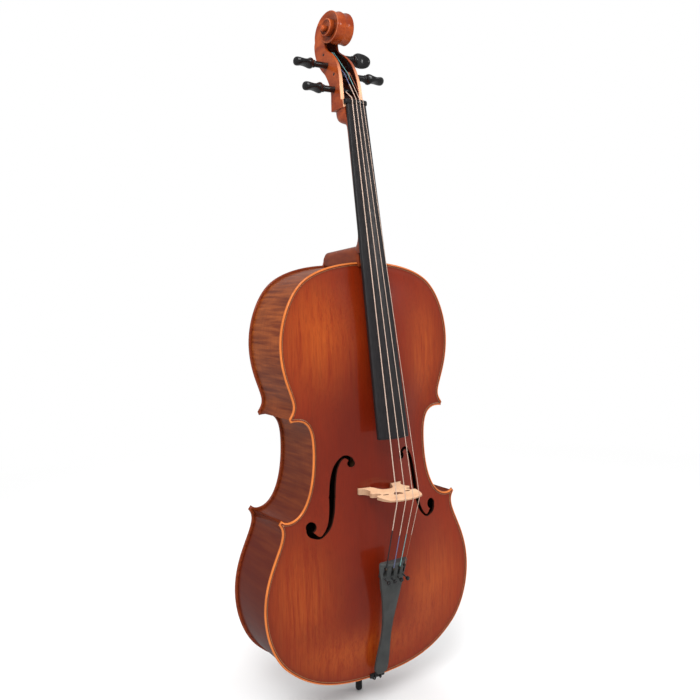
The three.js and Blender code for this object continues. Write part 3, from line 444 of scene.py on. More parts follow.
def moulded(name, low, high, roughness, pebble=2600, depth=0.00006, coat=0.0):
    """Moulded plastic, rubber or lacquered metal with a fine skin and slight handling marks."""
    f = Finish(name, roughness=roughness, coat=coat)
    skin = f.noise(f.place, pebble, detail=2)
    cloud = f.noise(f.place, 45, detail=4, roughness=0.6)
    f.colour(f.blend(f.span(cloud, 0.32, 0.7), low, high))
    f.rough(f.span(cloud, 0.3, 0.7, roughness - 0.07, roughness + 0.09))
    f.relief(skin, depth, 0.4)
    return f.material


def metal(name, tone, roughness, stretch=(1, 1, 0.04), scale=1500):
    """Drawn or turned metal with fine lines along its length."""
    f = Finish(name, roughness=roughness, metallic=1.0)
    lines = f.noise(f.stretched(*stretch), scale, detail=2)
    cloud = f.noise(f.place, 60, detail=3)
    dark = tuple(0.72 * v for v in tone[:3]) + (1.0,)
    f.colour(f.blend(f.span(cloud, 0.3, 0.75), tone, dark))
    f.rough(f.span(lines, 0.3, 0.7, roughness - 0.08, roughness + 0.12))
    f.relief(lines, 0.00003, 0.4)
    return f.material


def wound(name, low, high, metallic, roughness, pitch_scale):
    """A fine winding round a string or a thread wrapping: rings along its length."""
    f = Finish(name, roughness=roughness, metallic=metallic)
    inputs = {"Vector": f.place, "Scale": pitch_scale, "Distortion": 0.4}
    rings = f.node(
        "ShaderNodeTexWave", inputs, wave_type="BANDS", bands_direction="Z").outputs["Fac"]
    cloud = f.noise(f.place, 120, detail=3)
    body = f.blend(f.span(rings, 0.1, 0.6), low, high)
    f.colour(f.blend(f.span(cloud, 0.4, 0.7, 0.0, 0.3), body, low))
    f.relief(rings, 0.0001, 0.5)
    return f.material


TOP_VARNISH = varnished_top()
BACK_VARNISH = varnished_maple(
    "varnished_back", rgb(104, 36, 18), rgb(158, 70, 30), rgb(120, 52, 28), (0.14, 0.3, 1.0), 110,
    rim=True, tilt=0.2)
# The ribs get painted shade over their lower part (lower=0.9).
RIB_VARNISH = varnished_maple(
    "varnished_ribs", rgb(106, 43, 14), rgb(158, 82, 34), rgb(190, 110, 60), (0.8, 0.07, 1.0), 140,
    grain=(0.05, 1, 0.05), lower=0.9, coat=0.26)
NECK_VARNISH = varnished_maple(
    "varnished_neck", rgb(134, 50, 18), rgb(172, 78, 30), rgb(246, 188, 148), (0.3, 0.3, 0.9), 70)
PURFLING_DARK = plain_wood("purfling_dark", rgb(20, 14, 12), rgb(40, 28, 22), 500, 0.4, 0.4)
PURFLING_PALE = plain_wood("purfling_pale", rgb(150, 90, 52), rgb(190, 120, 70), 500, 0.4, 0.4)
HOLE_EDGE = plain_wood("sound_hole_edge", rgb(30, 16, 12), rgb(58, 28, 20), 400, 0.5)
# Pale wood inside the body, painted much darker as the shade it lies in.
BARE_WOOD_PAINTED_SHADE = plain_wood("bare_spruce_painted_shade", rgb(74, 52, 32), rgb(104, 78, 50))
# The plates' inner faces: pale wood, painted much darker as the shade inside the body.
INNER_WOOD_PAINTED_SHADE = plain_wood("inner_wood_painted_shade", rgb(58, 38, 26), rgb(84, 58, 38), roughness=0.8)
SATIN_EBONY = plain_wood(
    "satin_ebony", rgb(16, 14, 16), rgb(36, 33, 35), 500, 0.4, stretch=(1, 1, 0.02))
POLISHED_EBONY = plain_wood("polished_ebony", rgb(8, 8, 9), rgb(24, 23, 24), 500, 0.22, 0.4)
BRIDGE_MAPLE = bridge_wood()
TAIL_PLASTIC = moulded("tailpiece_composite", rgb(50, 52, 52), rgb(64, 66, 65), 0.46)
TUNER_LACQUER = moulded("tuner_lacquer", rgb(14, 14, 15), rgb(34, 34, 36), 0.3, coat=0.3)
STEEL = metal("drawn_steel", (0.6, 0.6, 0.62, 1.0), 0.26)
STRING_METAL = wound(
    "string_winding", rgb(176, 148, 132), rgb(240, 212, 194), 0.35, 0.3, 900)
BALL_METAL = metal("ball_end_metal", (0.16, 0.13, 0.1, 1.0), 0.34, (1, 1, 1))
SILK = {
    "C": wound("silk_black", rgb(16, 16, 18), rgb(44, 44, 48), 0.0, 0.6, 700),
    "G": wound("silk_violet", rgb(58, 60, 92), rgb(112, 116, 150), 0.0, 0.55, 700),
    "D": wound("silk_teal", rgb(66, 120, 122), rgb(128, 176, 174), 0.0, 0.55, 700),
    "A": wound("silk_rust", rgb(110, 56, 40), rgb(160, 92, 66), 0.0, 0.55, 700),
}
CORD = wound("braided_cord", rgb(8, 8, 9), rgb(40, 40, 42), 0.0, 0.5, 420)
RUBBER = moulded("moulded_rubber", rgb(14, 14, 15), rgb(30, 30, 31), 0.62, 1800, 0.0001)


# ---- outline and arching ----
RUNS = {
    "upper": [
        ((0, 755), (40, 755), (92, 749), (126, 726.5)),
        ((126, 726.5), (159, 704.5), (177, 652), (177, 612)),
        ((177, 612), (177, 560), (155, 529), (155, 511)),
        ((155, 511), (155, 502), (160, 497), (164, 491)),
    ],
    "middle": [
        ((161.5, 484.5), (129, 489.5), (119.5, 472), (119.5, 431)),
        ((119.5, 431), (119.5, 369), (137, 316), (172, 316.5)),
        ((172, 316.5), (177, 316.5), (181, 319.5), (184, 322.5)),
    ],
    "lower": [
        ((189.5, 316), (186, 312), (183, 307), (183, 300)),
        ((183, 300), (183, 272), (220.5, 233), (220.5, 167)),
        ((220.5, 167), (220.5, 121), (202, 78.5), (178, 57)),
        ((178, 57), (133.5, 15.5), (84, 0), (0, 0)),
    ],
}


BUTTON = (17.0, 761.5)  # radius, z


def run_points(run, step):
    """One run of the treble half's outline as points about one step apart."""
    points = []
    for curve in RUNS[run]:
        a, b, c, d = (np.array(p, dtype=float) for p in curve)
        size = np.linalg.norm(b - a) + np.linalg.norm(c - b) + np.linalg.norm(d - c)
        places = np.linspace(0, 1, max(3, round(size / step)))
        points += bezier(a, b, c, d, places[1 if points else 0:])
    return np.array(points)


def outline(step, button=False):
    """The whole outline, clockwise from the top; the back's has the button over the heel."""
    half = np.vstack([run_points(run, step) for run in RUNS])
    if button:
        radius, centre = BUTTON
        quarter = np.radians(np.linspace(90, 0, 14))
        arc = np.column_stack([radius * np.cos(quarter), centre + radius * np.sin(quarter)])
        half = np.vstack([arc, half[half[:, 0] > radius + 0.5], [[0.0, 0.0]]])
    return both_halves(half)


def edge_distance(points, line):
    """Distance of each point from a closed line of points."""
    start, end = line, np.roll(line, -1, axis=0)
    along = end - start
    size = (along ** 2).sum(axis=1)
    result = np.empty(len(points))
    for first in range(0, len(points), 1500):
        chunk = points[first:first + 1500, None, :] - start[None]
        t = np.clip((chunk * along).sum(axis=2) / size, 0, 1)
        apart = chunk - t[..., None] * along
        result[first:first + 1500] = np.sqrt((apart ** 2).sum(axis=2).min(axis=1))
    return result


def inside(points, line):
    """Which points lie inside a closed line of points."""
    result = np.zeros(len(points), dtype=bool)
    previous = np.roll(line, 1, axis=0)
    for (ax, az), (bx, bz) in zip(line, previous):
        if az == bz:
            continue
        spans = (az > points[:, 1]) != (bz > points[:, 1])
        result ^= spans & (points[:, 0] < (bx - ax) * (points[:, 1] - az) / (bz - az) + ax)
    return result


def inset(line, distance):
    """The line moved inwards, without the stretches that would cross inside the corners."""
    along = np.roll(line, -1, axis=0) - np.roll(line, 1, axis=0)
    along /= np.linalg.norm(along, axis=1)[:, None]
    moved = line + distance * np.column_stack([along[:, 1], -along[:, 0]])
    return moved[edge_distance(moved, line) > distance - 0.03]


UPPER_SQUARENESS = 2.45  # of the bouts' ends: 2 is round, more is squarer
LOWER_SQUARENESS = 2.3


def arch_half(z):
    """Half the width of the arched area: the outline without its corners."""
    upper_x, upper_z = UPPER_BOUT
    lower_x, lower_z = LOWER_BOUT
    high = np.clip((z - upper_z) / (BODY_LENGTH - upper_z), 0, 1)
    low = np.clip((lower_z - z) / lower_z, 0, 1)
    top = upper_x * (1 - high ** UPPER_SQUARENESS) ** (1 / UPPER_SQUARENESS)
    bottom = lower_x * (1 - low ** LOWER_SQUARENESS) ** (1 / LOWER_SQUARENESS)
    above = z > WAIST[1]
    bout_x = np.where(above, upper_x, lower_x)
    bout_z = np.where(above, upper_z, lower_z)
    waist = mix(WAIST[0], bout_x, smoother(np.abs(z - WAIST[1]) / np.abs(WAIST[1] - bout_z)))
    return np.where(z > upper_z, top, np.where(z < lower_z, bottom, waist)) - ARCH_MARGIN


def arch_height(x, z):
    """How far a plate's outer surface stands out of its edge plane."""
    x, z = np.asarray(x, dtype=float), np.asarray(z, dtype=float)
    middle = BODY_LENGTH / 2
    along = np.minimum(np.abs(z - middle) / (middle - ARCH_MARGIN), 1)
    half = arch_half(np.clip(z, 2 * ARCH_MARGIN, BODY_LENGTH - 2 * ARCH_MARGIN))
    across = np.minimum(np.abs(x) / np.maximum(half, 1), 1)
    lengthwise = (1 + np.cos(math.pi * along ** 2.8)) / 2
    crosswise = (1 + np.cos(math.pi * across ** 1.25)) / 2
    return ARCH_HEIGHT * lengthwise * crosswise


# ---- plates ----
PURFLING = (4.3, 4.8, 5.4, 5.9)  # distances of its three strips from the outline
EDGE_ROWS = (0.25, 0.8, 1.5, 2.25, 3.2, *PURFLING, 7.2, 9, 11.5)
GRID_STEP = 5.5
GRID_MARGIN = 14.0  # past the last of the edge rows
SOUND_HOLE = {
    "upper_eye": (54, 405, 6.6),
    "lower_eye": (129.5, 301.5, 9.6),
    "outer_edge": [
        (50.2, 408.5), (49.9, 412), (54, 416.6), (60.5, 419.6), (67.5, 419), (75.6, 412.2),
        (81.8, 403.7), (86.2, 393.5), (91, 374), (94, 350), (95.8, 328), (99.6, 306),
        (106.9, 291.5), (115.2, 284.3), (125.5, 292),
    ],
    "inner_edge": [
        (137.5, 300), (138.6, 295.5), (137.3, 291), (134.8, 286.9), (129.5, 283.2), (116, 280),
        (104, 287), (93.8, 300), (87.2, 321), (83.8, 345), (80.9, 370), (77.3, 393),
        (72.6, 405.5), (68.3, 411.9), (63.3, 414.4), (58.6, 411), (57.5, 408),
    ],
    "nicks": [(94.1, 1.8), (83.6, -1.8)],
    "nick_z": 349,
    "nick_half": 3,
}


def sound_hole_loops(side):
    """The overlapping outlines that make up one sound hole."""
    hole = SOUND_HOLE
    stem = [*rounded_rows(hole["outer_edge"], 90), *rounded_rows(hole["inner_edge"], 90)]
    loops = [np.array(stem)]
    loops += [circle(*hole[eye], 40) for eye in ("upper_eye", "lower_eye")]
    z, tall = hole["nick_z"], hole["nick_half"]
    for x, depth in hole["nicks"]:
        loops.append(np.array([(x - depth, z - tall), (x + depth, z), (x - depth, z + tall)]))
    return [loop * [side, 1] for loop in loops]


def triangulated(rows, holes, grain):
    """Triangles over rows of (points, whether they are a ring to follow), outline first."""
    edges, total = [], 0
    for points, ring in rows:
        if ring:
            edges.append(ring_edges(total, len(points)))
        total += len(points)
    flat = np.vstack([points for points, _ in rows])
    net = delaunay_2d_cdt([Vector(p) for p in flat], np.vstack(edges).tolist(), [], 0, grain)
    found, triangles = np.array([tuple(p) for p in net[0]]), np.array(net[2])
    middles = found[triangles].mean(axis=1)
    keep = inside(middles, rows[0][0])
    for hole in holes:
        keep &= ~inside(middles, hole)
    return found, triangles[keep], net[3]


def plate_net(line, holes):
    """Points and triangles over an outline, with rows that follow the edge and the purfling."""
    rings = [(line, True)]
    rings += [(inset(line, distance), distance in PURFLING) for distance in EDGE_ROWS]
    rings += [(hole, True) for hole in holes]
    grid = np.array([
        (x + GRID_STEP * 0.5 * (row % 2), z)
        for row, z in enumerate(np.arange(0, 790, GRID_STEP * 0.87))
        for x in np.arange(-222, 222, GRID_STEP)
    ])
    grid = grid[inside(grid, line)]
    rings.append((grid[edge_distance(grid, line) > GRID_MARGIN], False))
    found, triangles, _ = triangulated(rings, holes, 1e-4)
    used, index = np.unique(triangles, return_inverse=True)
    return found[used], index.reshape(-1, 3)


def ring_edges(start, count):
    index = np.arange(count)
    return np.column_stack([start + index, start + (index + 1) % count])


def plate_depths(flat, rim, side):
    """y of the outer and the inner surface: arching, a channel, and a rounded edge."""
    arch = arch_height(flat[:, 0], flat[:, 1])
    radius = EDGE / 2
    into = np.clip(radius - rim, 0, radius)
    rounding = radius - np.sqrt(radius ** 2 - into ** 2)
    crest = 0.5 * bump_at(rim, 2.9, 1.3) * (rim > 0.3) - 0.6 * bump_at(rim, 8.0, 3.0)
    groove = 0.12 * ((rim > PURFLING[0] - 0.05) & (rim < PURFLING[-1] + 0.05))
    outer = EDGE_PLANE + arch + crest - rounding - groove
    inner = HALF_RIB + arch + rounding
    return side * outer, side * inner


THIN_VARNISH = (  # x, z, half width, half height of each worn area
    (-112, 628, 62, 90), (118, 590, 40, 80), (-150, 175, 55, 95), (128, 150, 70, 80),
    (-40, 60, 120, 40),
)


def glow(flat):
    """Where the varnish is thinner and more orange: the bouts' shoulders."""
    total = sum(
        bump_at(flat[:, 0], x, wide) * bump_at(flat[:, 1], z, tall)
        for x, z, wide, tall in THIN_VARNISH)
    return np.clip(total, 0, 1)


def plate(name, side, varnish, holes=(), button=False):
    """An arched plate: varnished outside with its purfling, bare wood in painted shade inside, its
    holes cut.
    """
    line = outline(3.4, button)
    flat, triangles = plate_net(line, holes)
    rim = edge_distance(flat, line)
    outer, inner = plate_depths(flat, rim, side)
    on_edge = rim < 0.02
    count = len(flat)
    inner_index = np.where(on_edge, np.arange(count), np.arange(count) + count)
    points = np.vstack([
        np.column_stack([flat[:, 0], outer, flat[:, 1]]),
        np.column_stack([flat[:, 0], inner, flat[:, 1]]),
    ])
    shape = Shape()
    middles = rim[triangles].mean(axis=1)
    strip = np.digitize(middles, PURFLING)
    numbers = np.choose(strip, [0, 1, 2, 1, 0])
    shape.points = [tuple(p) for p in points]
    shape.marks = [0.0] * len(points)
    for face, number, edge in zip(triangles, numbers, middles < OVERHANG + 1):
        shape.faces.append(tuple(face))
        shape.face_materials.append(int(number))
        shape.faces.append(tuple(inner_index[face][::-1]))
        shape.face_materials.append(0 if edge else 3)
    for a, b in open_edges(triangles):
        if on_edge[a] and on_edge[b]:
            continue
        shape.faces.append((b, a, count + a, count + b))
        shape.face_materials.append(4)
    drop_unused(shape)
    materials = [varnish, PURFLING_DARK, PURFLING_PALE, INNER_WOOD_PAINTED_SHADE, HOLE_EDGE]
    mesh = shape.make(name, materials, sharp=50).data
    kept = np.array([(p.co.x / MM, p.co.z / MM - BODY_BOTTOM) for p in mesh.vertices])
    write_mark(mesh, "rim", edge_distance(kept, line))
    write_mark(mesh, "glow", glow(kept))


def open_edges(triangles):
    """The edges that only one triangle uses."""
    pairs = np.vstack([triangles[:, [0, 1]], triangles[:, [1, 2]], triangles[:, [2, 0]]])
    _, place, count = np.unique(
        np.sort(pairs, axis=1), axis=0, return_index=True, return_counts=True)
    return pairs[place[count == 1]]


def drop_unused(shape):
    used, index = np.unique(np.concatenate(shape.faces), return_inverse=True)
    sizes = np.cumsum([len(face) for face in shape.faces])[:-1]
    shape.faces = [tuple(face) for face in np.split(index, sizes)]
    shape.points = [shape.points[i] for i in used]
    shape.marks = [shape.marks[i] for i in used]


plate(
    "top_plate", -1, TOP_VARNISH,
    [*sound_hole_loops(-1), *sound_hole_loops(1)])
plate("back_plate", 1, BACK_VARNISH, button=True)


# ---- ribs ----
PAST_CORNER = 12.0  # so that neighbouring runs cross
RIB_POINTS = 110


def run_inset(run, distance):
    """A run of the outline moved inwards; its ends on the centre line stay there."""
    points = run_points(run, 4.0)
    first, last = points[0] - points[1], points[-1] - points[-2]
    if run != "upper":
        points = np.vstack([points[0] + PAST_CORNER * first / np.linalg.norm(first), points])
    if run != "lower":
        points = np.vstack([points, points[-1] + PAST_CORNER * last / np.linalg.norm(last)])
    along = np.gradient(points, axis=0)
    along[np.abs(points[:, 0]) < 1e-6, 1] = 0.0
    along /= np.linalg.norm(along, axis=1)[:, None]
    return points + distance * np.column_stack([along[:, 1], -along[:, 0]])


def crossing(first, second):
    """Where two rows of points first cross: the places along them and the point."""
    for i in range(len(first) - 1):
        a = first[i + 1] - first[i]
        for j in range(len(second) - 1):
            b = second[j + 1] - second[j]
            apart = second[j] - first[i]
            turn = a[0] * b[1] - a[1] * b[0]
            s = (apart[0] * b[1] - apart[1] * b[0]) / turn
            t = (apart[0] * a[1] - apart[1] * a[0]) / turn
            if 0 <= s <= 1 and 0 <= t <= 1:
                return i, j, first[i] + s * a
    raise ValueError("two runs of the outline do not cross")


def rib_lines(distance):
    """The three runs moved inwards and ended where they meet inside the corners."""
    upper, middle, lower = (run_inset(run, distance) for run in RUNS)
    high_i, high_j, high = crossing(upper, middle)
    low_i, low_j, low = crossing(middle[::-1], lower)
    low_end = len(middle) - 1 - low_i
    return {
        "upper": np.vstack([upper[:high_i + 1], high]),
        "middle": np.vstack([high, middle[high_j + 1:low_end], low]),
        "lower": np.vstack([low, lower[low_j + 1:]]),
    }


def evenly(points, count):
    """The same row of points, redrawn with even spacing."""
    gaps = np.linalg.norm(np.diff(points, axis=0), axis=1)
    place = np.concatenate([[0], np.cumsum(gaps)])
    wanted = np.linspace(0, place[-1], count)
    return np.column_stack([np.interp(wanted, place, points[:, i]) for i in (0, 1)])


def ribs():
    """Six bent strips with softened outer edges."""
    outer, inner = rib_lines(OVERHANG), rib_lines(OVERHANG + RIB_THICKNESS)
    near, soft = HALF_RIB - 0.05, 0.6
    for side, name in ((-1, "bass"), (1, "treble")):
        for run in RUNS:
            out_line, in_line = (evenly(rows[run], RIB_POINTS) for rows in (outer, inner))
            rings = []
            for (ox, oz), (ix, iz) in zip(out_line, in_line):
                ex, ez = mix(ox, ix, 0.35), mix(oz, iz, 0.35)
                rings.append([
                    (side * ex, -near, oz if abs(ox) < 0.1 else ez),
                    (side * ox, -near + soft, oz), (side * ox, 0, oz),
                    (side * ox, near - soft, oz), (side * ex, near, ez),
                    (side * ix, near, iz), (side * ix, -near, iz),
                ])
            skinned(f"rib_{run}_{name}", rings, RIB_VARNISH)


ribs()


# ---- neck and scroll ----
BOARD_SLOPE = (NECK_TOP[0] - BOARD_END[0]) / (NECK_TOP[1] - BOARD_END[1])


def board_under(z):
    return NECK_TOP[0] + (z - NECK_TOP[1]) * BOARD_SLOPE


def board_half(z):
    t = (z - BOARD_END[1]) / (NECK_TOP[1] - BOARD_END[1])
    return mix(BOARD["end_half"], BOARD["nut_half"], t)


def signed_power(value, power):
    return np.sign(value) * np.abs(value) ** power


def heel_rings():
    """A deep block with a rounded top, narrowing towards the back plate's button."""
    over = np.linspace(0, math.pi, 37)
    rings = []
    for y in np.linspace(-66, HALF_RIB - 0.3, 30):
        t = min(max((y + 40) / 98, 0), 1)
        half, top = mix(21, 17, t), mix(784, 779, t)
        soft = 2.0 * bump_at(y, -66, 2.5)
        x = (half - soft) * signed_power(np.cos(over), 0.72)
        z = top - half + (half - soft) * signed_power(np.sin(over), 0.72)
        arc = [(px, y, pz) for px, pz in zip(x, z)]
        rings.append([(half - soft, y, 747), *arc, (soft - half, y, 747)])
    return rings


def neck_rings():
    """Flat-fronted, round-backed sections from the heel up to the chin under the pegbox."""
    rows = []
    for z in (770, 784, 790, 797, 806, 830, 870, 920, 960, 980):
        flare = max(0, (806 - z) / 22) ** 2
        depth = mix(18, 20, (z - 806) / 174) + 14 * flare
        rows.append((z, board_half(z) - 4, board_under(z) + depth, 2))
    rows += [
        (994, 16.6, -20.5, 2), (999, 17.1, -18, 2.1), (1002, 17.7, -13, 2.3),
        (1004, 18.3, -7.5, 2.5), (1007, 19.4, -0.8, 2.8), (1011, 20.3, 4, 3.1),
        (1018, 21, 7.4, 3.3), (1028, 21.3, 8.2, 3.4),
    ]
    over = np.linspace(0, math.pi, 33)
    rings = []
    for z, half, back, squareness in rounded_rows(rows, 120):
        front = board_under(z) + 0.3
        x = half * signed_power(np.cos(over), 2 / squareness)
        y = front + (back - front) * signed_power(np.sin(over), 2 / squareness)
        rings.append([(px, py, z) for px, py in zip(x, y)])
    return rings


PEGBOX = [  # front edge y, z, back y, z, half width
    (-35, 1027, 9, 1027, 23.2), (-33.5, 1041, 9, 1041, 23.2), (-27, 1042, 9, 1045, 23.2),
    (-24.5, 1062, 9.5, 1060, 23), (-20.5, 1082, 18, 1078, 21.5), (-13, 1102, 34, 1098, 19.5),
    (-3, 1117, 50, 1111, 18), (15, 1133, 65, 1127, 16.5), (37, 1149, 75, 1144, 15.4),
    (36, 1172, 78.5, 1163, 14.6), (20, 1179, 70, 1180, 14.2),
]
BACK_FLUTE = 2.0  # depth of the two hollows down the pegbox's back
VOLUTE_FLUTE = 1.3  # and of those round the scroll
VOLUTE_DEPTH = 1.18  # front to back, over its height
CHAMFER = 0.9
HOLLOW_FROM, HOLLOW_TO = 1042.5, 1149.5  # z of the pegbox's open stretch, on its front


def back_flutes(half, edge, spine, flute, count=9):
    """Two hollows with a ridge between them, as (x, level) from one edge to the other."""
    right = []
    for u in np.linspace(0, 1, count):
        level = mix(edge, spine, u ** 2) - flute * math.sin(math.pi * u)
        right.append((half * (1 - u), level))
    return right + [(-x, level) for x, level in right[-2::-1]]


def pegbox_ring(fy, fz, by, bz, half, hollow):
    """One closed section: the inside, the two cheeks with their chamfers, and the flutes."""
    depth = math.hypot(by - fy, bz - fz)
    dy, dz = (by - fy) / depth, (bz - fz) / depth
    floor = max(0.0, (depth - 10) * hollow)
    pale = smooth((1128 - fz) / 75)  # bare front edges near the nut, varnished above
    wall = half - mix(5.6, 7.6, pale)
    dark = -max(hollow, smooth((fz - 1126) / 12))
    inner = [
        (0, floor, dark), (wall * 0.5, floor, dark), (wall - 1.5, floor - 0.2 * hollow, dark),
        (wall, floor - 2 * hollow, dark), (wall, 2.5 * hollow, dark),
        (wall, 0.9 * hollow, dark / 2),
        (wall + 0.9, 0, 0.85 * pale),
    ]
    cheek = [
        (half - CHAMFER, 0, 0.9 * pale), (half, CHAMFER, 0.5 * pale), (half, CHAMFER + 0.8, 0),
        (half, 0.35 * depth, 0), (half, 0.7 * depth, 0), (half, depth - 3.0, 0),
        (half, depth - 2.2, 0.15), (half - CHAMFER, depth - 1.0, 0.2),
    ]
    flutes = [
        (x, d, 0) for x, d in back_flutes(half - CHAMFER - 0.4, depth - 1.0, depth, BACK_FLUTE)
    ]
    right = inner + cheek
    left = [(-x, d, m) for x, d, m in right[:0:-1]]
    section = right + flutes + left
    points = [(x, fy + dy * d, fz + dz * d) for x, d, _ in section]
    return points, [m for _, _, m in section]


def pegbox_rings():
    low = [mix(np.array(PEGBOX[0]), np.array(PEGBOX[1]), t) for t in np.linspace(0, 0.98, 8)]
    rings, marks = [], []
    for row in [*low, *rounded_rows(PEGBOX[2:], 110)]:
        front_z = row[1]
        hollow = smooth((front_z - HOLLOW_FROM) / 2.5) * smooth((HOLLOW_TO - front_z) / 7)
        points, ring_marks = pegbox_ring(*row, hollow)
        rings.append(points)
        marks += ring_marks
    return rings, marks


def volute_radius(degrees):
    """Radius of the rim, counted from straight back over the top."""
    if degrees < 90:
        return mix(49, 33, max(0, degrees) / 90)
    if degrees < 180:
        return mix(33, 26.5, (degrees - 90) / 90)
    return 26.5 - (degrees - 180) * 0.0315


def volute_rings():
    """The volute winds inwards from the back of the head and widens towards the eye."""
    angles = np.linspace(-38, 745, 260)
    wider = [volute_radius(a) for a in np.linspace(-60, 767, 276)]
    radii = np.convolve(wider, np.ones(17) / 17, "valid")
    rings, marks = [], []
    for degrees, radius in zip(angles, radii):
        half = mix(15, 29, min(max((degrees - 60) / 660, 0), 1))
        half -= 1.0 - smooth((degrees + 38) / 45)
        sink = 3.6 * smooth((degrees + 5) / 100)
        flute = mix(BACK_FLUTE, VOLUTE_FLUTE, smooth((degrees - 20) / 60))
        flute *= smooth((350 - degrees) / 45)
        hollows = np.linspace(0.97, 0.1, 9)
        cheek = [(half - sink * smooth((1 - s) / 0.34), s * radius, 0) for s in hollows]
        edge = [(half, radius - CHAMFER - 0.7, 0), (half, radius - CHAMFER, 0.1),
                (half - CHAMFER, radius, 0.12)]
        right = [*cheek[:0:-1], *edge]
        band = back_flutes(half - CHAMFER - 0.4, radius, radius + 0.6, flute)
        left = [(-x, r, m) for x, r, m in right[::-1]]
        section = [*right, *((x, r, 0) for x, r in band), *left]
        a = math.radians(degrees)
        rings.append([
            (x, VOLUTE[0] + VOLUTE_DEPTH * r * math.cos(a), VOLUTE[1] + r * math.sin(a))
            for x, r, _ in section
        ])
        marks += [m for _, _, m in section]
    return rings, marks


def eye_rings():
    profile = [(5.2, -30), (5.2, -15), (5.2, 15), (5.2, 30)]
    dome = [(5.0, 31.2), (4.2, 32.2), (2.6, 32.9), (0.8, 33.2)]
    profile = [(r, -x) for r, x in dome[::-1]] + profile + dome
    return lathe_rings(profile, 32, lambda a, b, x: (x, VOLUTE[0] + a, VOLUTE[1] + b))


def neck_and_scroll():
    """Heel, handle, pegbox, volute and eye, as overlapping skins in one piece."""
    shape = Shape()
    heel, handle = heel_rings(), neck_rings()
    shape.skin(heel, 0, [-0.3] * sum(map(len, heel)))
    shape.skin(handle, 0, [-0.3 * smooth((830 - p[2]) / 40) for ring in handle for p in ring])
    for rings, marks in (pegbox_rings(), volute_rings()):
        shape.skin(rings, 0, marks)
    shape.skin(eye_rings(), 0)
    shape.make("neck_and_scroll", [NECK_VARNISH], sharp=38)


neck_and_scroll()


# ---- fingerboard and nut ----
def board_top(x, z):
    half, camber = board_half(z), BOARD["camber"]
    drop = camber - math.sqrt(camber ** 2 - half ** 2)
    rise = math.sqrt(camber ** 2 - x ** 2) - camber + drop
    return board_under(z) - BOARD["edge"] - rise


def fingerboard():
    """A cambered board with a softened lower end."""
    rings = []
    ends = (BOARD_END[1], NECK_TOP[1] - 0.3)
    for z in [ends[0], ends[0] + 0.3, ends[0] + 1.0, *np.linspace(456, 1026, 40), ends[1]]:
        soft = 0.9 * max(0.0, 1 - (z - ends[0]) / 1.0) ** 2
        half = board_half(z) - soft
        under = board_under(z) - 0.3
        right = [(half - 0.9, board_top(half - 0.9, z) + 0.1 + soft),
                 (half - 0.2, board_top(half, z) + 0.4 + soft), (half, board_top(half, z) + 1.2),
                 (half, under - 1.0), (half - 0.4, under - 0.2), (half - 1.2, under)]
        arc = [(x, board_top(x, z) + soft) for x in np.linspace(1.8 - half, half - 1.8, 29)]
        left = [(-x, y) for x, y in right[::-1]]
        rings.append([(x, y, z) for x, y in [*left, *arc, *right]])
    skinned("fingerboard", rings, SATIN_EBONY, sharp=50)


NUT_TOP = board_top(0, NECK_TOP[1]) - 1.0
NUT_HALF = 23.0
NUT_CAMBER = 0.0085  # drop of the nut's crown, times the square of x


def nut():
    """A rounded bar over the fingerboard's end, with a groove for each string."""
    rings = []
    crown = np.linspace(-NUT_HALF + 0.4, NUT_HALF - 0.4, 161)
    profile = [(0.3, 1.6), (0.5, 0.8), (1.2, 0.2), (3, 0), (5.5, 0.2), (7.5, 1.0), (8.6, 2.0),
               (9.0, 3.4)]
    for up, drop in profile:
        z = NECK_TOP[1] + up
        top = []
        for x in crown:
            y = NUT_TOP + NUT_CAMBER * x * x + drop + 1.4 * max(0, abs(x) - 21.5)
            for string in STRINGS.values():
                y += 0.75 * bump_at(x, string["nut_x"], string["radius"] + 0.15)
            top.append((x, y, z))
        foot = NECK_TOP[0] + 0.6
        rings.append([(-NUT_HALF, foot, z), *top, (NUT_HALF, foot, z)])
    skinned("nut", rings, POLISHED_EBONY, sharp=40)


fingerboard()
nut()


# ---- pegs ----
PEG_END = 85.0
HEAD_LENGTH = 38.0


def pegbox_half(z):
    middles = [(row[1] + row[3]) / 2 for row in PEGBOX]
    return float(np.interp(z, middles, [row[4] for row in PEGBOX]))


def peg_profile(cheek):
    """(x, wide, thick) along a peg: tapered shaft, collar, shoulder, waist and swelling end."""
    head = PEG_END - HEAD_LENGTH
    shaft = [
        (-cheek - 0.5, 1.6), (-cheek - 0.4, 2.3), (-cheek - 0.1, 2.6), (-cheek + 1, 4.2),
        (cheek + 2, 5.4),
        (head - 5, 5.6), (head - 3.4, 5.7), (head - 3.1, 6.4), (head - 2.4, 6.8),
        (head - 1.2, 6.8), (head - 0.5, 6.3), (head - 0.3, 5.9), (head + 0.5, 6.0),
    ]
    rows = [(x, r, r) for x, r in shaft]
    blade = [
        (0.8, 6.8, 6.8), (3, 9.3, 8.8), (5.5, 11.2, 9.5), (8, 12.6, 9.0), (12, 13.8, 6.9),
        (17, 14.1, 5.5), (22, 13.6, 5.5), (27, 12.5, 6.6), (31, 11.0, 7.4), (34.5, 8.9, 7.2),
        (37, 6.0, 5.4), (38, 2.6, 2.4),
    ]
    smooth_blade = rounded_rows(blade, 50)
    return rows, [(head + x, wide, thick) for x, wide, thick in smooth_blade]


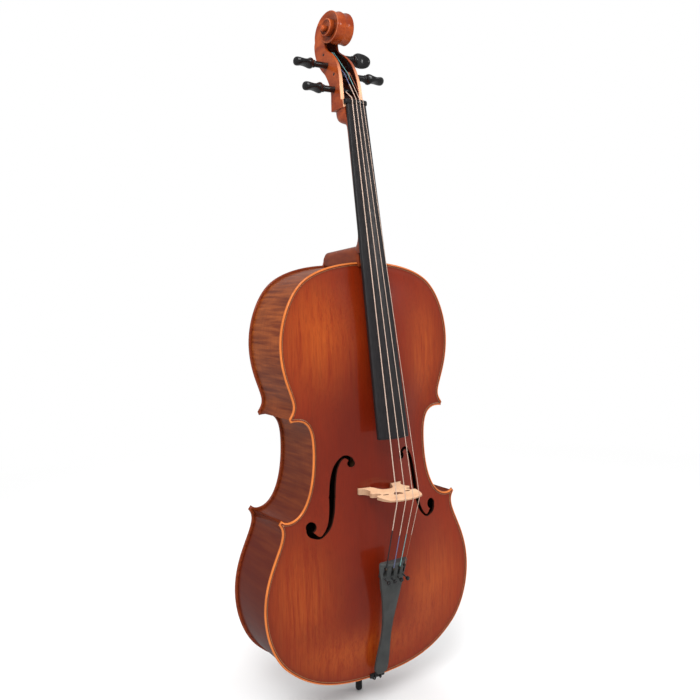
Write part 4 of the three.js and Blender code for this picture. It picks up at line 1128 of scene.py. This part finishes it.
def pegs():
    """Four turned pegs; the D peg's flat head stands across the others."""
    count = 36
    angles = turns(count) + math.pi / count
    pip = [(1.8, 37.6), (1.8, 38.3), (1.4, 38.8), (0.7, 39.0)]
    for name, at in PEGS.items():
        shaft, blade = peg_profile(pegbox_half(at["z"]))
        rings = []
        for x, wide, thick in [*shaft, *blade]:
            across, through = wide * np.cos(angles), thick * np.sin(angles)
            y, z = (-through, across) if name == "D" else (across, through)
            rings.append([
                (at["side"] * x, at["y"] + py, at["z"] + pz) for py, pz in zip(y, z)])
        shape = Shape()
        shape.skin(rings)
        shape.skin(lathe_rings(pip, 20, lambda a, b, x: (
            at["side"] * (PEG_END - HEAD_LENGTH + x), at["y"] + a, at["z"] + b)))
        shape.make(
            f"peg_{name}", [POLISHED_EBONY], f"peg_{name}_turning", 40)


pegs()


# ---- bridge ----
BRIDGE_BASE = -EDGE_PLANE - ARCH_HEIGHT
BRIDGE_FOOT = 11.0
PAINTED_WALL_SHADE = 0.6  # how dark the painted shade on the sawn walls is, outside and in the holes
PAINTED_HOLE_SHADE = 0.95


def bridge_top(x):
    return STRING_CROWN + BRIDGE_RADIUS - np.sqrt(BRIDGE_RADIUS ** 2 - np.asarray(x) ** 2)


def curve_through(start, *curves, step=0.8):
    """A row of points: each curve is (handle, handle, end) or (handle, end) or (end,)."""
    points = [np.array(start, dtype=float)]
    for curve in curves:
        a, d = points[-1], np.array(curve[-1], dtype=float)
        b = np.array(curve[0], dtype=float) if len(curve) > 1 else mix(a, d, 1 / 3)
        c = np.array(curve[-2], dtype=float) if len(curve) > 1 else mix(a, d, 2 / 3)
        if len(curve) == 2:
            handle = b
            b, c = mix(a, handle, 2 / 3), mix(d, handle, 2 / 3)
        count = max(2, round(np.linalg.norm(d - a) * 1.15 / step))
        points += bezier(a, b, c, d, np.linspace(0, 1, count + 1)[1:])
    return np.array(points)


def bridge_outline():
    """The treble half from the arch between the legs, round the foot, up to the crown."""
    def foot(x):
        return float(arch_height(x, BRIDGE_Z)) - ARCH_HEIGHT + 0.35
    half = curve_through(
        (0, 25),
        ((12, 25), (16, 16), (18, 8)),
        ((21, 3.5),),
        ((21, foot(21)),),
        ((33, foot(33) + 0.25), (45.5, foot(45.5))),
        ((45.5, foot(45.5) + 3.5),),
        ((36.5, 5), (35.5, 14)),
        ((35, 24), (41, 28)),
        ((41.5, 34), (35, 35)),
        ((28, 36.5), (28.5, 42.5)),
        ((30, 48), (36, 46.5)),
        ((41, 46), (41, 52)),
        ((40, 68), (33, BRIDGE_BASE - float(bridge_top(33)))),
    )
    crown_x = np.linspace(33, 0, 34)[1:]
    crown = np.column_stack([crown_x, BRIDGE_BASE - bridge_top(crown_x)])
    return np.vstack([half, crown])


def bridge_loops():
    """The bridge's outline, and its heart and two slots."""
    heart = curve_through(
        (0, 44), ((4, 48.5), (8.2, 51), (8.2, 55)), ((8.2, 59.5), (2, 60), (0, 54.5)))
    slot = circle(0, 0, 1, 28) * [5.6, 2.4] + [22.5, 49.5]
    return both_halves(bridge_outline()), [both_halves(heart), slot, slot * [-1, 1]]


def grown(loop, distance):
    """A closed loop moved to its left by a small distance, point by point."""
    along = np.roll(loop, -1, axis=0) - np.roll(loop, 1, axis=0)
    along /= np.linalg.norm(along, axis=1)[:, None]
    return loop + distance * np.column_stack([-along[:, 1], along[:, 0]])


def turned_left(loop):
    x, z = loop[:, 0], loop[:, 1]
    area = (x * np.roll(z, -1) - np.roll(x, -1) * z).sum()
    return loop if area > 0 else loop[::-1]


def bridge_faces(height):
    """z of the lower and the upper face at a height over the foot."""
    crown = BRIDGE_BASE - STRING_CROWN
    low = BRIDGE_Z - BRIDGE_FOOT / 2 + 2.0 * np.clip(height / crown, 0, 1)
    thickness = mix(BRIDGE_FOOT, 2.8, np.clip((height - 4) / (crown - 4), 0, 1))
    return low, low + thickness


def bridge():
    """Two flat faces that thin towards the crown, with painted shade on the sawn walls between
    them.
    """
    outer, holes = bridge_loops()
    loops = [turned_left(outer), *(turned_left(hole)[::-1] for hole in holes)]
    shape = Shape()
    soft = 0.7
    faces = [[], []]
    for loop in loops:
        shade = PAINTED_WALL_SHADE if loop is loops[0] else PAINTED_HOLE_SHADE
        edge = grown(loop, soft)
        rings = []
        for line, end, shift in ((edge, 0, 0), (loop, 0, soft), (loop, 1, -soft), (edge, 1, 0)):
            z = bridge_faces(line[:, 1])[end] + shift
            rings.append([
                (x, BRIDGE_BASE - h, level) for (x, h), level in zip(line, z)])
        start = len(shape.points)
        count = len(loop)
        walls = []
        for row in range(3):
            for i in range(count):
                j = (i + 1) % count
                walls.append((row * count + i, row * count + j,
                              (row + 1) * count + j, (row + 1) * count + i))
        marks = [0.0] * count + [shade] * (2 * count) + [0.0] * count
        shape.add([p for ring in rings for p in ring], walls, 0, marks)
        faces[0].append((edge, start))
        faces[1].append((edge, start + 3 * count))
    for end, rims in enumerate(faces):
        cap(shape, rims, end)
    shape.make("bridge", [BRIDGE_MAPLE], sharp=35)


def cap(shape, rims, end):
    """Fills one face of the bridge between its outer rim and its holes."""
    flat = [rim for rim, _ in rims]
    numbers = np.concatenate([start + np.arange(len(rim)) for rim, start in rims])
    grid = np.array([(x, h) for h in np.arange(-4, 90, 2.6) for x in np.arange(-47, 48, 2.6)])
    grid = grid[inside(grid, flat[0])]
    clear = edge_distance(grid, flat[0]) > 1.2
    for hole in flat[1:]:
        clear &= ~inside(grid, hole) & (edge_distance(grid, hole) > 1.2)
    grid = grid[clear]
    first = len(shape.points)
    level = bridge_faces(grid[:, 1])[end]
    shape.add([(x, BRIDGE_BASE - h, z) for (x, h), z in zip(grid, level)], [])
    numbers = np.concatenate([numbers, first + np.arange(len(grid))])
    rows = [*((rim, True) for rim in flat), (grid, False)]
    _, triangles, origins = triangulated(rows, flat[1:], 1e-5)
    source = np.array([numbers[ids[0]] if ids else -1 for ids in origins])
    for triangle in triangles:
        corners = source[triangle]
        if corners.min() >= 0:
            shape.faces.append(tuple(int(i) for i in corners))
            shape.face_materials.append(0)


bridge()


# ---- tailpiece and tuners ----
TILT = (math.cos(TAIL["tilt"]), math.sin(TAIL["tilt"]))
TAIL_RADIUS = 50.0
THROUGH = 20.0  # a depth past the tailpiece's back
SCREW_Z = -28.5
SCREW_PITCH = 0.7


def in_tail(x, y, z):
    """From the tailpiece's own frame: top end at the origin, y into the cello, -z along it."""
    cos, sin = TILT
    return (x, TAIL["y"] + y * cos - z * sin, TAIL["z"] + y * sin + z * cos)


def tail_drop(x):
    """How far the tailpiece's crowned face falls away beside its middle."""
    return TAIL_RADIUS - math.sqrt(TAIL_RADIUS ** 2 - x ** 2)


TAIL_STATIONS = [  # z, half width, back
    (0, 28.6, 12.5), (-4, 29.2, 12.5), (-14, 27.8, 12.5), (-26, 25.5, 12.5), (-48, 21.6, 12.3),
    (-62, 19.2, 10), (-82, 15.8, 8.2), (-104, 12.4, 7.5), (-128, 10.2, 7), (-150, 10, 7),
    (-172, 11.7, 7), (-196, 13.7, 7), (-214, 13.8, 7.5), (-222, 12.2, 7.8), (-228, 7.5, 7.4),
]


def tailpiece():
    """A moulded shell with a slot, a groove and a screw hole for each string."""
    rings = []
    for z, half, back in rounded_rows(TAIL_STATIONS, 150):
        end = 1.3 * max(bump_at(z, 0, 0.9), bump_at(z, -TAIL["length"], 2.2))
        half -= 0.6 * end
        ridge = 1.1 * bump_at(z, -3.2, 1.3)
        deep = max(back, tail_drop(half) + 2.5)
        arc = [
            (x, tail_drop(x) + end - ridge, z)
            for x in np.linspace(1.6 - half, half - 1.6, 37)]
        low = tail_drop(half)
        right = [(half - 0.7, low + 0.1 + end, z), (half - 0.1, low + 0.7 + end, z),
                 (half, low + 1.5 + end, z), (half, deep - 0.8, z), (half - 0.9, deep - 0.1, z),
                 (half - 1.6, deep, z)]
        left = [(-x, y, pz) for x, y, pz in right[::-1]]
        rings.append([in_tail(*p) for p in [*left, *arc, *right]])
    piece = skinned("tailpiece", rings, TAIL_PLASTIC, sharp=40)
    cutters = Shape()
    for string in STRINGS.values():
        x = string["tuner_x"]
        groove = tail_drop(x) + 0.9
        for loop, deep in (
                (slot_outline(), THROUGH), (circle(0, -3, 1.3, 16), groove),
                (circle(0, SCREW_Z, 1.95, 20), THROUGH)):
            cutters.skin([[in_tail(x + px, y, z) for px, z in loop] for y in (-6, deep)])
    carve(piece, cutters)


def slot_outline():
    """A tuner's slot, with rounded corners, as (x, z)."""
    half, top, bottom, corner = 2.75, -6.5, -24.6, 1.6
    centres = ((1, top - corner), (-1, top - corner), (-1, bottom + corner), (1, bottom + corner))
    loop = []
    for quarter, (side, z) in enumerate(centres):
        for step in range(5):
            turn = (quarter + step / 4) * math.pi / 2
            loop.append((
                side * (half - corner) + corner * math.cos(turn), z + corner * math.sin(turn)))
    return loop


def carve(piece, cutters):
    """Cuts one shape out of a piece for good."""
    cutter = add_object("cutter", cutters.mesh("cutter"))
    boolean = piece.modifiers.new("cut", "BOOLEAN")
    boolean.operation, boolean.solver, boolean.object = "DIFFERENCE", "EXACT", cutter
    bpy.context.view_layer.update()
    evaluated = piece.evaluated_get(bpy.context.evaluated_depsgraph_get())
    mesh = bpy.data.meshes.new_from_object(evaluated)
    piece.modifiers.clear()
    piece.data = mesh
    mesh.set_sharp_from_angle(angle=math.radians(35))
    bpy.data.objects.remove(cutter)


def tuners():
    """A threaded screw and its milled head for each string."""
    thread = [
        (1.35 + 0.13 * math.sin(2 * math.pi * y / SCREW_PITCH), y)
        for y in np.arange(-6.4, 15.3, SCREW_PITCH / 4)
    ]
    head = [(1.2, -6.8), (2.0, -6.8), (2.2, -7.1), (2.2, -8.0), (3.0, -8.2), (3.3, -8.7),
            (3.3, -11.6), (3.0, -12.2), (2.2, -12.6), (0.8, -12.8)]
    for name, string in STRINGS.items():
        x = string["tuner_x"]

        def along(a, b, y, x=x):
            return in_tail(x + a, y, SCREW_Z + b)

        screw = lathe_rings([(0.9, -6.6), *thread, (1.2, 15.4), (0.7, 15.6)], 18, along)
        knob = []
        for r, y in head:
            milled = 0.16 * np.where(np.arange(72) % 3, 1, -1) if r > 3.2 else np.zeros(72)
            knob.append([
                along((r + grip) * math.cos(a), (r + grip) * math.sin(a), y)
                for a, grip in zip(turns(72), milled)])
        for piece, rings, body in (("screw", screw, "stem"), ("knob", knob, "head")):
            skinned(
                f"tuner_{piece}_{name}", rings, TUNER_LACQUER,
                f"tuner_{name}_{body}", 50)


tailpiece()
tuners()


# ---- strings ----
PEG_SHAFT = 6.3  # radius that the strings wind on
PEG_WINDS = 3.4


def string_path(name, string):
    """From the tuner over the bridge and the nut into the pegbox, then round the peg."""
    peg, clear = PEGS[name], string["radius"] + 0.3
    tuner_x, bridge_x, nut_x = string["tuner_x"], string["bridge_x"], string["nut_x"]
    nut_y = NUT_TOP + NUT_CAMBER * nut_x ** 2 - clear
    bridge_y = float(bridge_top(bridge_x)) - clear
    points = [
        in_tail(tuner_x, tail_drop(tuner_x) - 1.4, -8),
        (bridge_x, bridge_y, BRIDGE_Z - BRIDGE_FOOT / 2 + 1),
        (bridge_x, bridge_y, BRIDGE_Z),
        (nut_x, nut_y, NECK_TOP[1]),
        (nut_x, nut_y, NECK_TOP[1] + 4.5),
        (nut_x, nut_y + 2.2, NECK_TOP[1] + 10),
    ]
    room = pegbox_half(peg["z"]) - 10.5
    inner_x = math.copysign(min(abs(nut_x), room), nut_x)
    if name in "GD":
        points.append((nut_x, -9, 1094))
    last = points[-1]
    dy, dz = peg["y"] - last[1], peg["z"] - last[2]
    run = math.hypot(dy, dz)
    wrap = PEG_SHAFT + clear
    meet = (inner_x, peg["y"] - dz * wrap / run, peg["z"] + dy * wrap / run)
    points.append(meet)
    start = math.atan2(meet[2] - peg["z"], meet[1] - peg["y"])
    sense = -1.0 if dy * (meet[2] - peg["z"]) - dz * (meet[1] - peg["y"]) > 0 else 1.0
    away = -math.copysign(1.0, inner_x)
    steps = np.linspace(0, PEG_WINDS * 2 * math.pi, 90)[1:]
    coil = [
        (inner_x + away * s / (2 * math.pi) * 2.15 * string["radius"],
         peg["y"] + (wrap - 0.25) * math.cos(start + sense * s),
         peg["z"] + (wrap - 0.25) * math.sin(start + sense * s))
        for s in steps
    ]
    return densely(points), coil


def densely(points, step=6.0):
    """The bent line with more points on its straight stretches."""
    result = [np.array(points[0], dtype=float)]
    for a, b in zip(points, points[1:]):
        a, b = np.array(a, dtype=float), np.array(b, dtype=float)
        size = np.linalg.norm(b - a)
        count = max(1, round(size / step))
        result += [mix(a, b, t) for t in np.linspace(0, 1, count + 1)[1:]]
    return result


def strings():
    """Each string with its wrapped ends and the ball end in its tuner's lever."""
    ball = [(0.8, -2.4), (2.0, -2.2), (2.2, -1.6), (2.2, 1.6), (2.0, 2.2), (0.8, 2.4)]
    sides = 10
    for name, string in STRINGS.items():
        line, coil = string_path(name, string)
        path = np.vstack([line, coil])
        base = path[0]
        thick = np.full(len(path), string["radius"])
        silk_low = np.linalg.norm(path - base, axis=1) < string["silk"]
        silk_high = path[:, 2] > NECK_TOP[1] + (42 if name in "GD" else 26)
        thick[silk_low | silk_high] += 0.1
        shape = Shape()
        shape.skin(tube_rings(path, thick, sides))
        wrapped = (silk_low[:-1] | silk_high[1:]).astype(int)
        shape.face_materials = [*np.repeat(wrapped, sides).tolist(), 1, 1]
        shape.skin(lathe_rings(ball, 20, lambda a, b, x: (
            base[0] + x * 0.8, base[1] + a * 0.7, base[2] + b - 1.0)), 2)
        shape.make(
            f"string_{name}", [STRING_METAL, SILK[name], BALL_METAL], sharp=60)


strings()


# ---- tailgut and endpin ----
SADDLE_PROUD = 4.0
GUT_RADIUS = 1.3
SOCKET_NECK = 12.4
CLAMP_Z = -13.0


def tailgut():
    front = -EDGE_PLANE - SADDLE_PROUD - GUT_RADIUS - 0.3
    around = SOCKET_NECK + GUT_RADIUS + 0.9
    bends = np.radians([195, 182, 169, 156, 143, 130, 117, 103])
    half = [
        in_tail(-6, 11.2, -214), in_tail(-6, 11.2, -219), (-6, front - 1.0, 16),
        (-6, front, 9), (-6, front - 0.1, 3.5), (-6.3, front + 2.4, -2.4),
        (-7.5, -58, -3.4), (-9.5, -44, -3.9),
        *((around * math.cos(a), around * math.sin(a), -4.3) for a in bends),
    ]
    path = [*half, (0, around, -4.3), *((-x, y, z) for x, y, z in half[::-1])]
    rounded = rounded_rows(path, 260)
    strand = GUT_RADIUS + 0.07 * np.sin(np.arange(len(rounded)) * 1.6)
    skinned("tailgut", tube_rings(rounded, strand, 14), CORD, sharp=60)


def upright(a, b, z):
    return (a, b, z)


def endpin():
    """The socket in the bottom block, the steel rod in it and the rod's rubber foot."""
    socket = Shape()
    socket.skin(lathe_rings([
        (4.6, -19), (13.6, -19), (14.3, -18.6), (14.5, -18), (14.5, -11), (14.1, -10.6),
        (14.1, -10.1), (14.5, -9.7), (14.5, -8.2), (13.9, -7.3), (12.5, -6.8), (12.4, -6.4),
        (12.4, -2.0), (12.7, -1.6), (14.2, -1.3), (14.8, -0.8), (14.8, 2.2), (14.4, 2.6),
        (12, 3.2), (10, 36), (4.6, 36),
    ], 56, upright), closed=True)
    socket.make("endpin_socket", [POLISHED_EBONY], sharp=35)
    rod = [(1.2, -46), (3.7, -46), (4, -45.4), (4, -30), (4, -10), (4, 150), (4, 311.4),
           (3.7, 312), (1.2, 312)]
    skinned("endpin_rod", lathe_rings(rod, 40, upright), STEEL, "endpin", 35)
    foot = [(0.8, 0), (3.4, 0), (4.2, 0.25), (5.3, 1.2), (6.0, 2.6), (6.3, 4.4)]
    for level in (8.2, 10.4, 12.6, 14.8):
        foot += [(6.3, level), (6.02, level + 0.35), (6.02, level + 0.8), (6.3, level + 1.15)]
    foot += [(6.3, 18), (6.0, 19.3), (5.2, 20), (4.35, 20), (4.2, 19.6), (4.2, 5.7), (0.8, 5.7)]
    rings = lathe_rings([(r, z - BODY_BOTTOM) for r, z in foot], 44, upright)
    skinned("endpin_rubber_foot", rings, RUBBER, "endpin", 50)


def clamp_screw():
    """A thumb screw: a threaded stem, a hub and two wings with rounded ends."""
    thread = [(1.8 + 0.12 * math.sin(2 * math.pi * y / 0.8), y) for y in np.arange(5, 17, 0.2)]
    hub = [(1.9, 17), (3.8, 17.2), (4.2, 17.8), (4.2, 20.9), (3.7, 21.5), (1.0, 21.7)]
    wing = ((2.6, 3.0, 1.3), (4.0, 3.1, 1.2), (5.6, 3.5, 1.15), (6.8, 3.4, 1.1),
            (7.6, 2.6, 0.9), (8.0, 1.4, 0.5))
    shape = Shape()
    shape.skin(lathe_rings(
        [(1.0, 4.9), *thread, *hub], 28, lambda a, b, y: (a, y, CLAMP_Z + b)))
    for side in (-1, 1):
        shape.skin([
            [(side * x, 19.2 + thick * math.sin(a), CLAMP_Z + tall * math.cos(a))
             for a in turns(24)]
            for x, tall, thick in wing])
    shape.make("endpin_clamp_screw", [STEEL], "clamp", 40)


tailgut()
endpin()
clamp_screw()


# ---- the CAD nodes that stay ----
def keep(node, material, soft):
    """Gives a CAD node its finish, with softened edges."""
    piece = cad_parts[node]
    piece.data.materials.clear()
    piece.data.materials.append(material)
    weld = piece.modifiers.new("weld", "WELD")
    weld.merge_threshold = 1e-5
    bevel = piece.modifiers.new("soft_edges", "BEVEL")
    bevel.width, bevel.segments, bevel.limit_method = soft * MM, 3, "ANGLE"
    bevel.angle_limit = math.radians(35)
    bevel.harden_normals = True
    piece.data.polygons.foreach_set("use_smooth", [True] * len(piece.data.polygons))


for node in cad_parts:
    if node.startswith(("lining_", "block_")) or node in ("bass_bar", "sound_post"):
        keep(node, BARE_WOOD_PAINTED_SHADE, 0.4)
    elif node.startswith("tuner_lever"):
        keep(node, TUNER_LACQUER, 0.35)
keep("saddle", POLISHED_EBONY, 0.8)
keep("tuner_pivot_pin", STEEL, 0.3)


# ---- camera, light and floor ----
def set_camera():
    """The photograph's view: from the bass side, a little above the bridge."""
    turn, dip, roll = math.radians(32.07), math.radians(3.93), math.radians(-1.458)
    ahead = Vector((math.sin(turn) * math.cos(dip), math.cos(turn) * math.cos(dip), -math.sin(dip)))
    level = ahead.cross(Vector((0, 0, 1))).normalized()
    steep = level.cross(ahead)
    right = level * math.cos(roll) + steep * math.sin(roll)
    up = steep * math.cos(roll) - level * math.sin(roll)
    camera = add_object("camera", bpy.data.cameras.new("camera"))
    pose = Matrix((right, up, -ahead)).transposed().to_4x4()
    pose.translation = (-0.7467, -1.1905, 0.7448)
    camera.matrix_world = pose
    camera.data.sensor_width = 36.0
    camera.data.lens = 39.2
    camera.data.clip_start = 0.01
    bpy.context.scene.camera = camera


MIRRORED_WORLD = 0.3  # brightness of the surroundings where glossy surfaces mirror them
FLOOR_RADIUS = 30.0


LAMPS = (  # name, place, target, size, power, whether glossy surfaces mirror it
    ("key", (-1.6, -1.9, 2.6), (0, 0, 0.6), 1.3, 50, False),
    ("side", (2.4, -1.3, 1.5), (0, 0, 0.6), 1.4, 26, False),
    ("back", (0.9, 2.4, 2.2), (0, 0, 0.7), 1.6, 34, False),
    ("overhead", (-0.7, -0.9, 2.6), (0, 0, 1.1), 0.8, 12, True),
    ("card", (1.6, -1.9, 1.8), (0, 0, 1.2), 0.6, 7, True),
    ("window", (-1.3, -2.0, 2.0), (0, 0, 1.1), 0.8, 10, True),
)


def area_light(name, place, target, size, power, mirrored):
    light = bpy.data.lights.new(name, "AREA")
    light.size, light.energy = size, power
    lamp = add_object(name, light)
    lamp.visible_glossy = mirrored
    direction = Vector(target) - Vector(place)
    lamp.rotation_mode = "QUATERNION"
    lamp.rotation_quaternion = direction.to_track_quat("-Z", "Y")
    lamp.location = place


def set_lights():
    """Broad soft lamps that light the varnish, and dimmer ones for it to mirror."""
    for lamp in LAMPS:
        area_light(*lamp)
    world = bpy.data.worlds.new("studio")
    bpy.context.scene.world = world
    world.use_nodes = True
    nodes, links = world.node_tree.nodes, world.node_tree.links
    rays = nodes.new("ShaderNodeLightPath")
    diffuse = nodes.new("ShaderNodeMapRange")
    diffuse.inputs["To Min"].default_value = 0.7
    diffuse.inputs["To Max"].default_value = MIRRORED_WORLD
    links.new(rays.outputs["Is Glossy Ray"], diffuse.inputs["Value"])
    strength = nodes.new("ShaderNodeMapRange")
    strength.inputs["To Max"].default_value = 1.0
    links.new(diffuse.outputs["Result"], strength.inputs["To Min"])
    links.new(rays.outputs["Is Camera Ray"], strength.inputs["Value"])
    links.new(strength.outputs["Result"], nodes["Background"].inputs["Strength"])
    nodes["Background"].inputs["Color"].default_value = (1, 1, 1, 1)


def set_floor():
    """A plain pale floor that fades into the white surroundings."""
    f = Finish("pale_floor", roughness=0.6)
    f.colour((0.86, 0.86, 0.86, 1.0))
    f.shader.inputs["Specular IOR Level"].default_value = 0.2
    white = f.node("ShaderNodeEmission", {"Color": (1, 1, 1, 1), "Strength": 1.0})
    dim = f.node("ShaderNodeEmission", {"Color": (1, 1, 1, 1), "Strength": MIRRORED_WORLD})
    far = f.node("ShaderNodeVectorMath", {0: f.place}, operation="LENGTH").outputs["Value"]
    rays = f.node("ShaderNodeLightPath")
    shown = f.node("ShaderNodeMixShader", {
        0: f.span(far, 0.5, 2.6), 1: f.shader.outputs[0], 2: white.outputs[0]})
    seen = f.node("ShaderNodeMixShader", {
        0: rays.outputs["Is Glossy Ray"], 1: shown.outputs[0], 2: dim.outputs[0]})
    f.links.new(seen.outputs[0], f.nodes["Material Output"].inputs["Surface"])
    mesh = bpy.data.meshes.new("floor")
    rim = [(x, y, 0) for x, y in circle(0, 0, FLOOR_RADIUS, 96).tolist()]
    mesh.from_pydata(rim, [], [tuple(range(96))])
    mesh.materials.append(f.material)
    add_object("floor", mesh)


set_camera()
set_lights()
set_floor()
bpy.context.scene.view_settings.view_transform = "Standard"
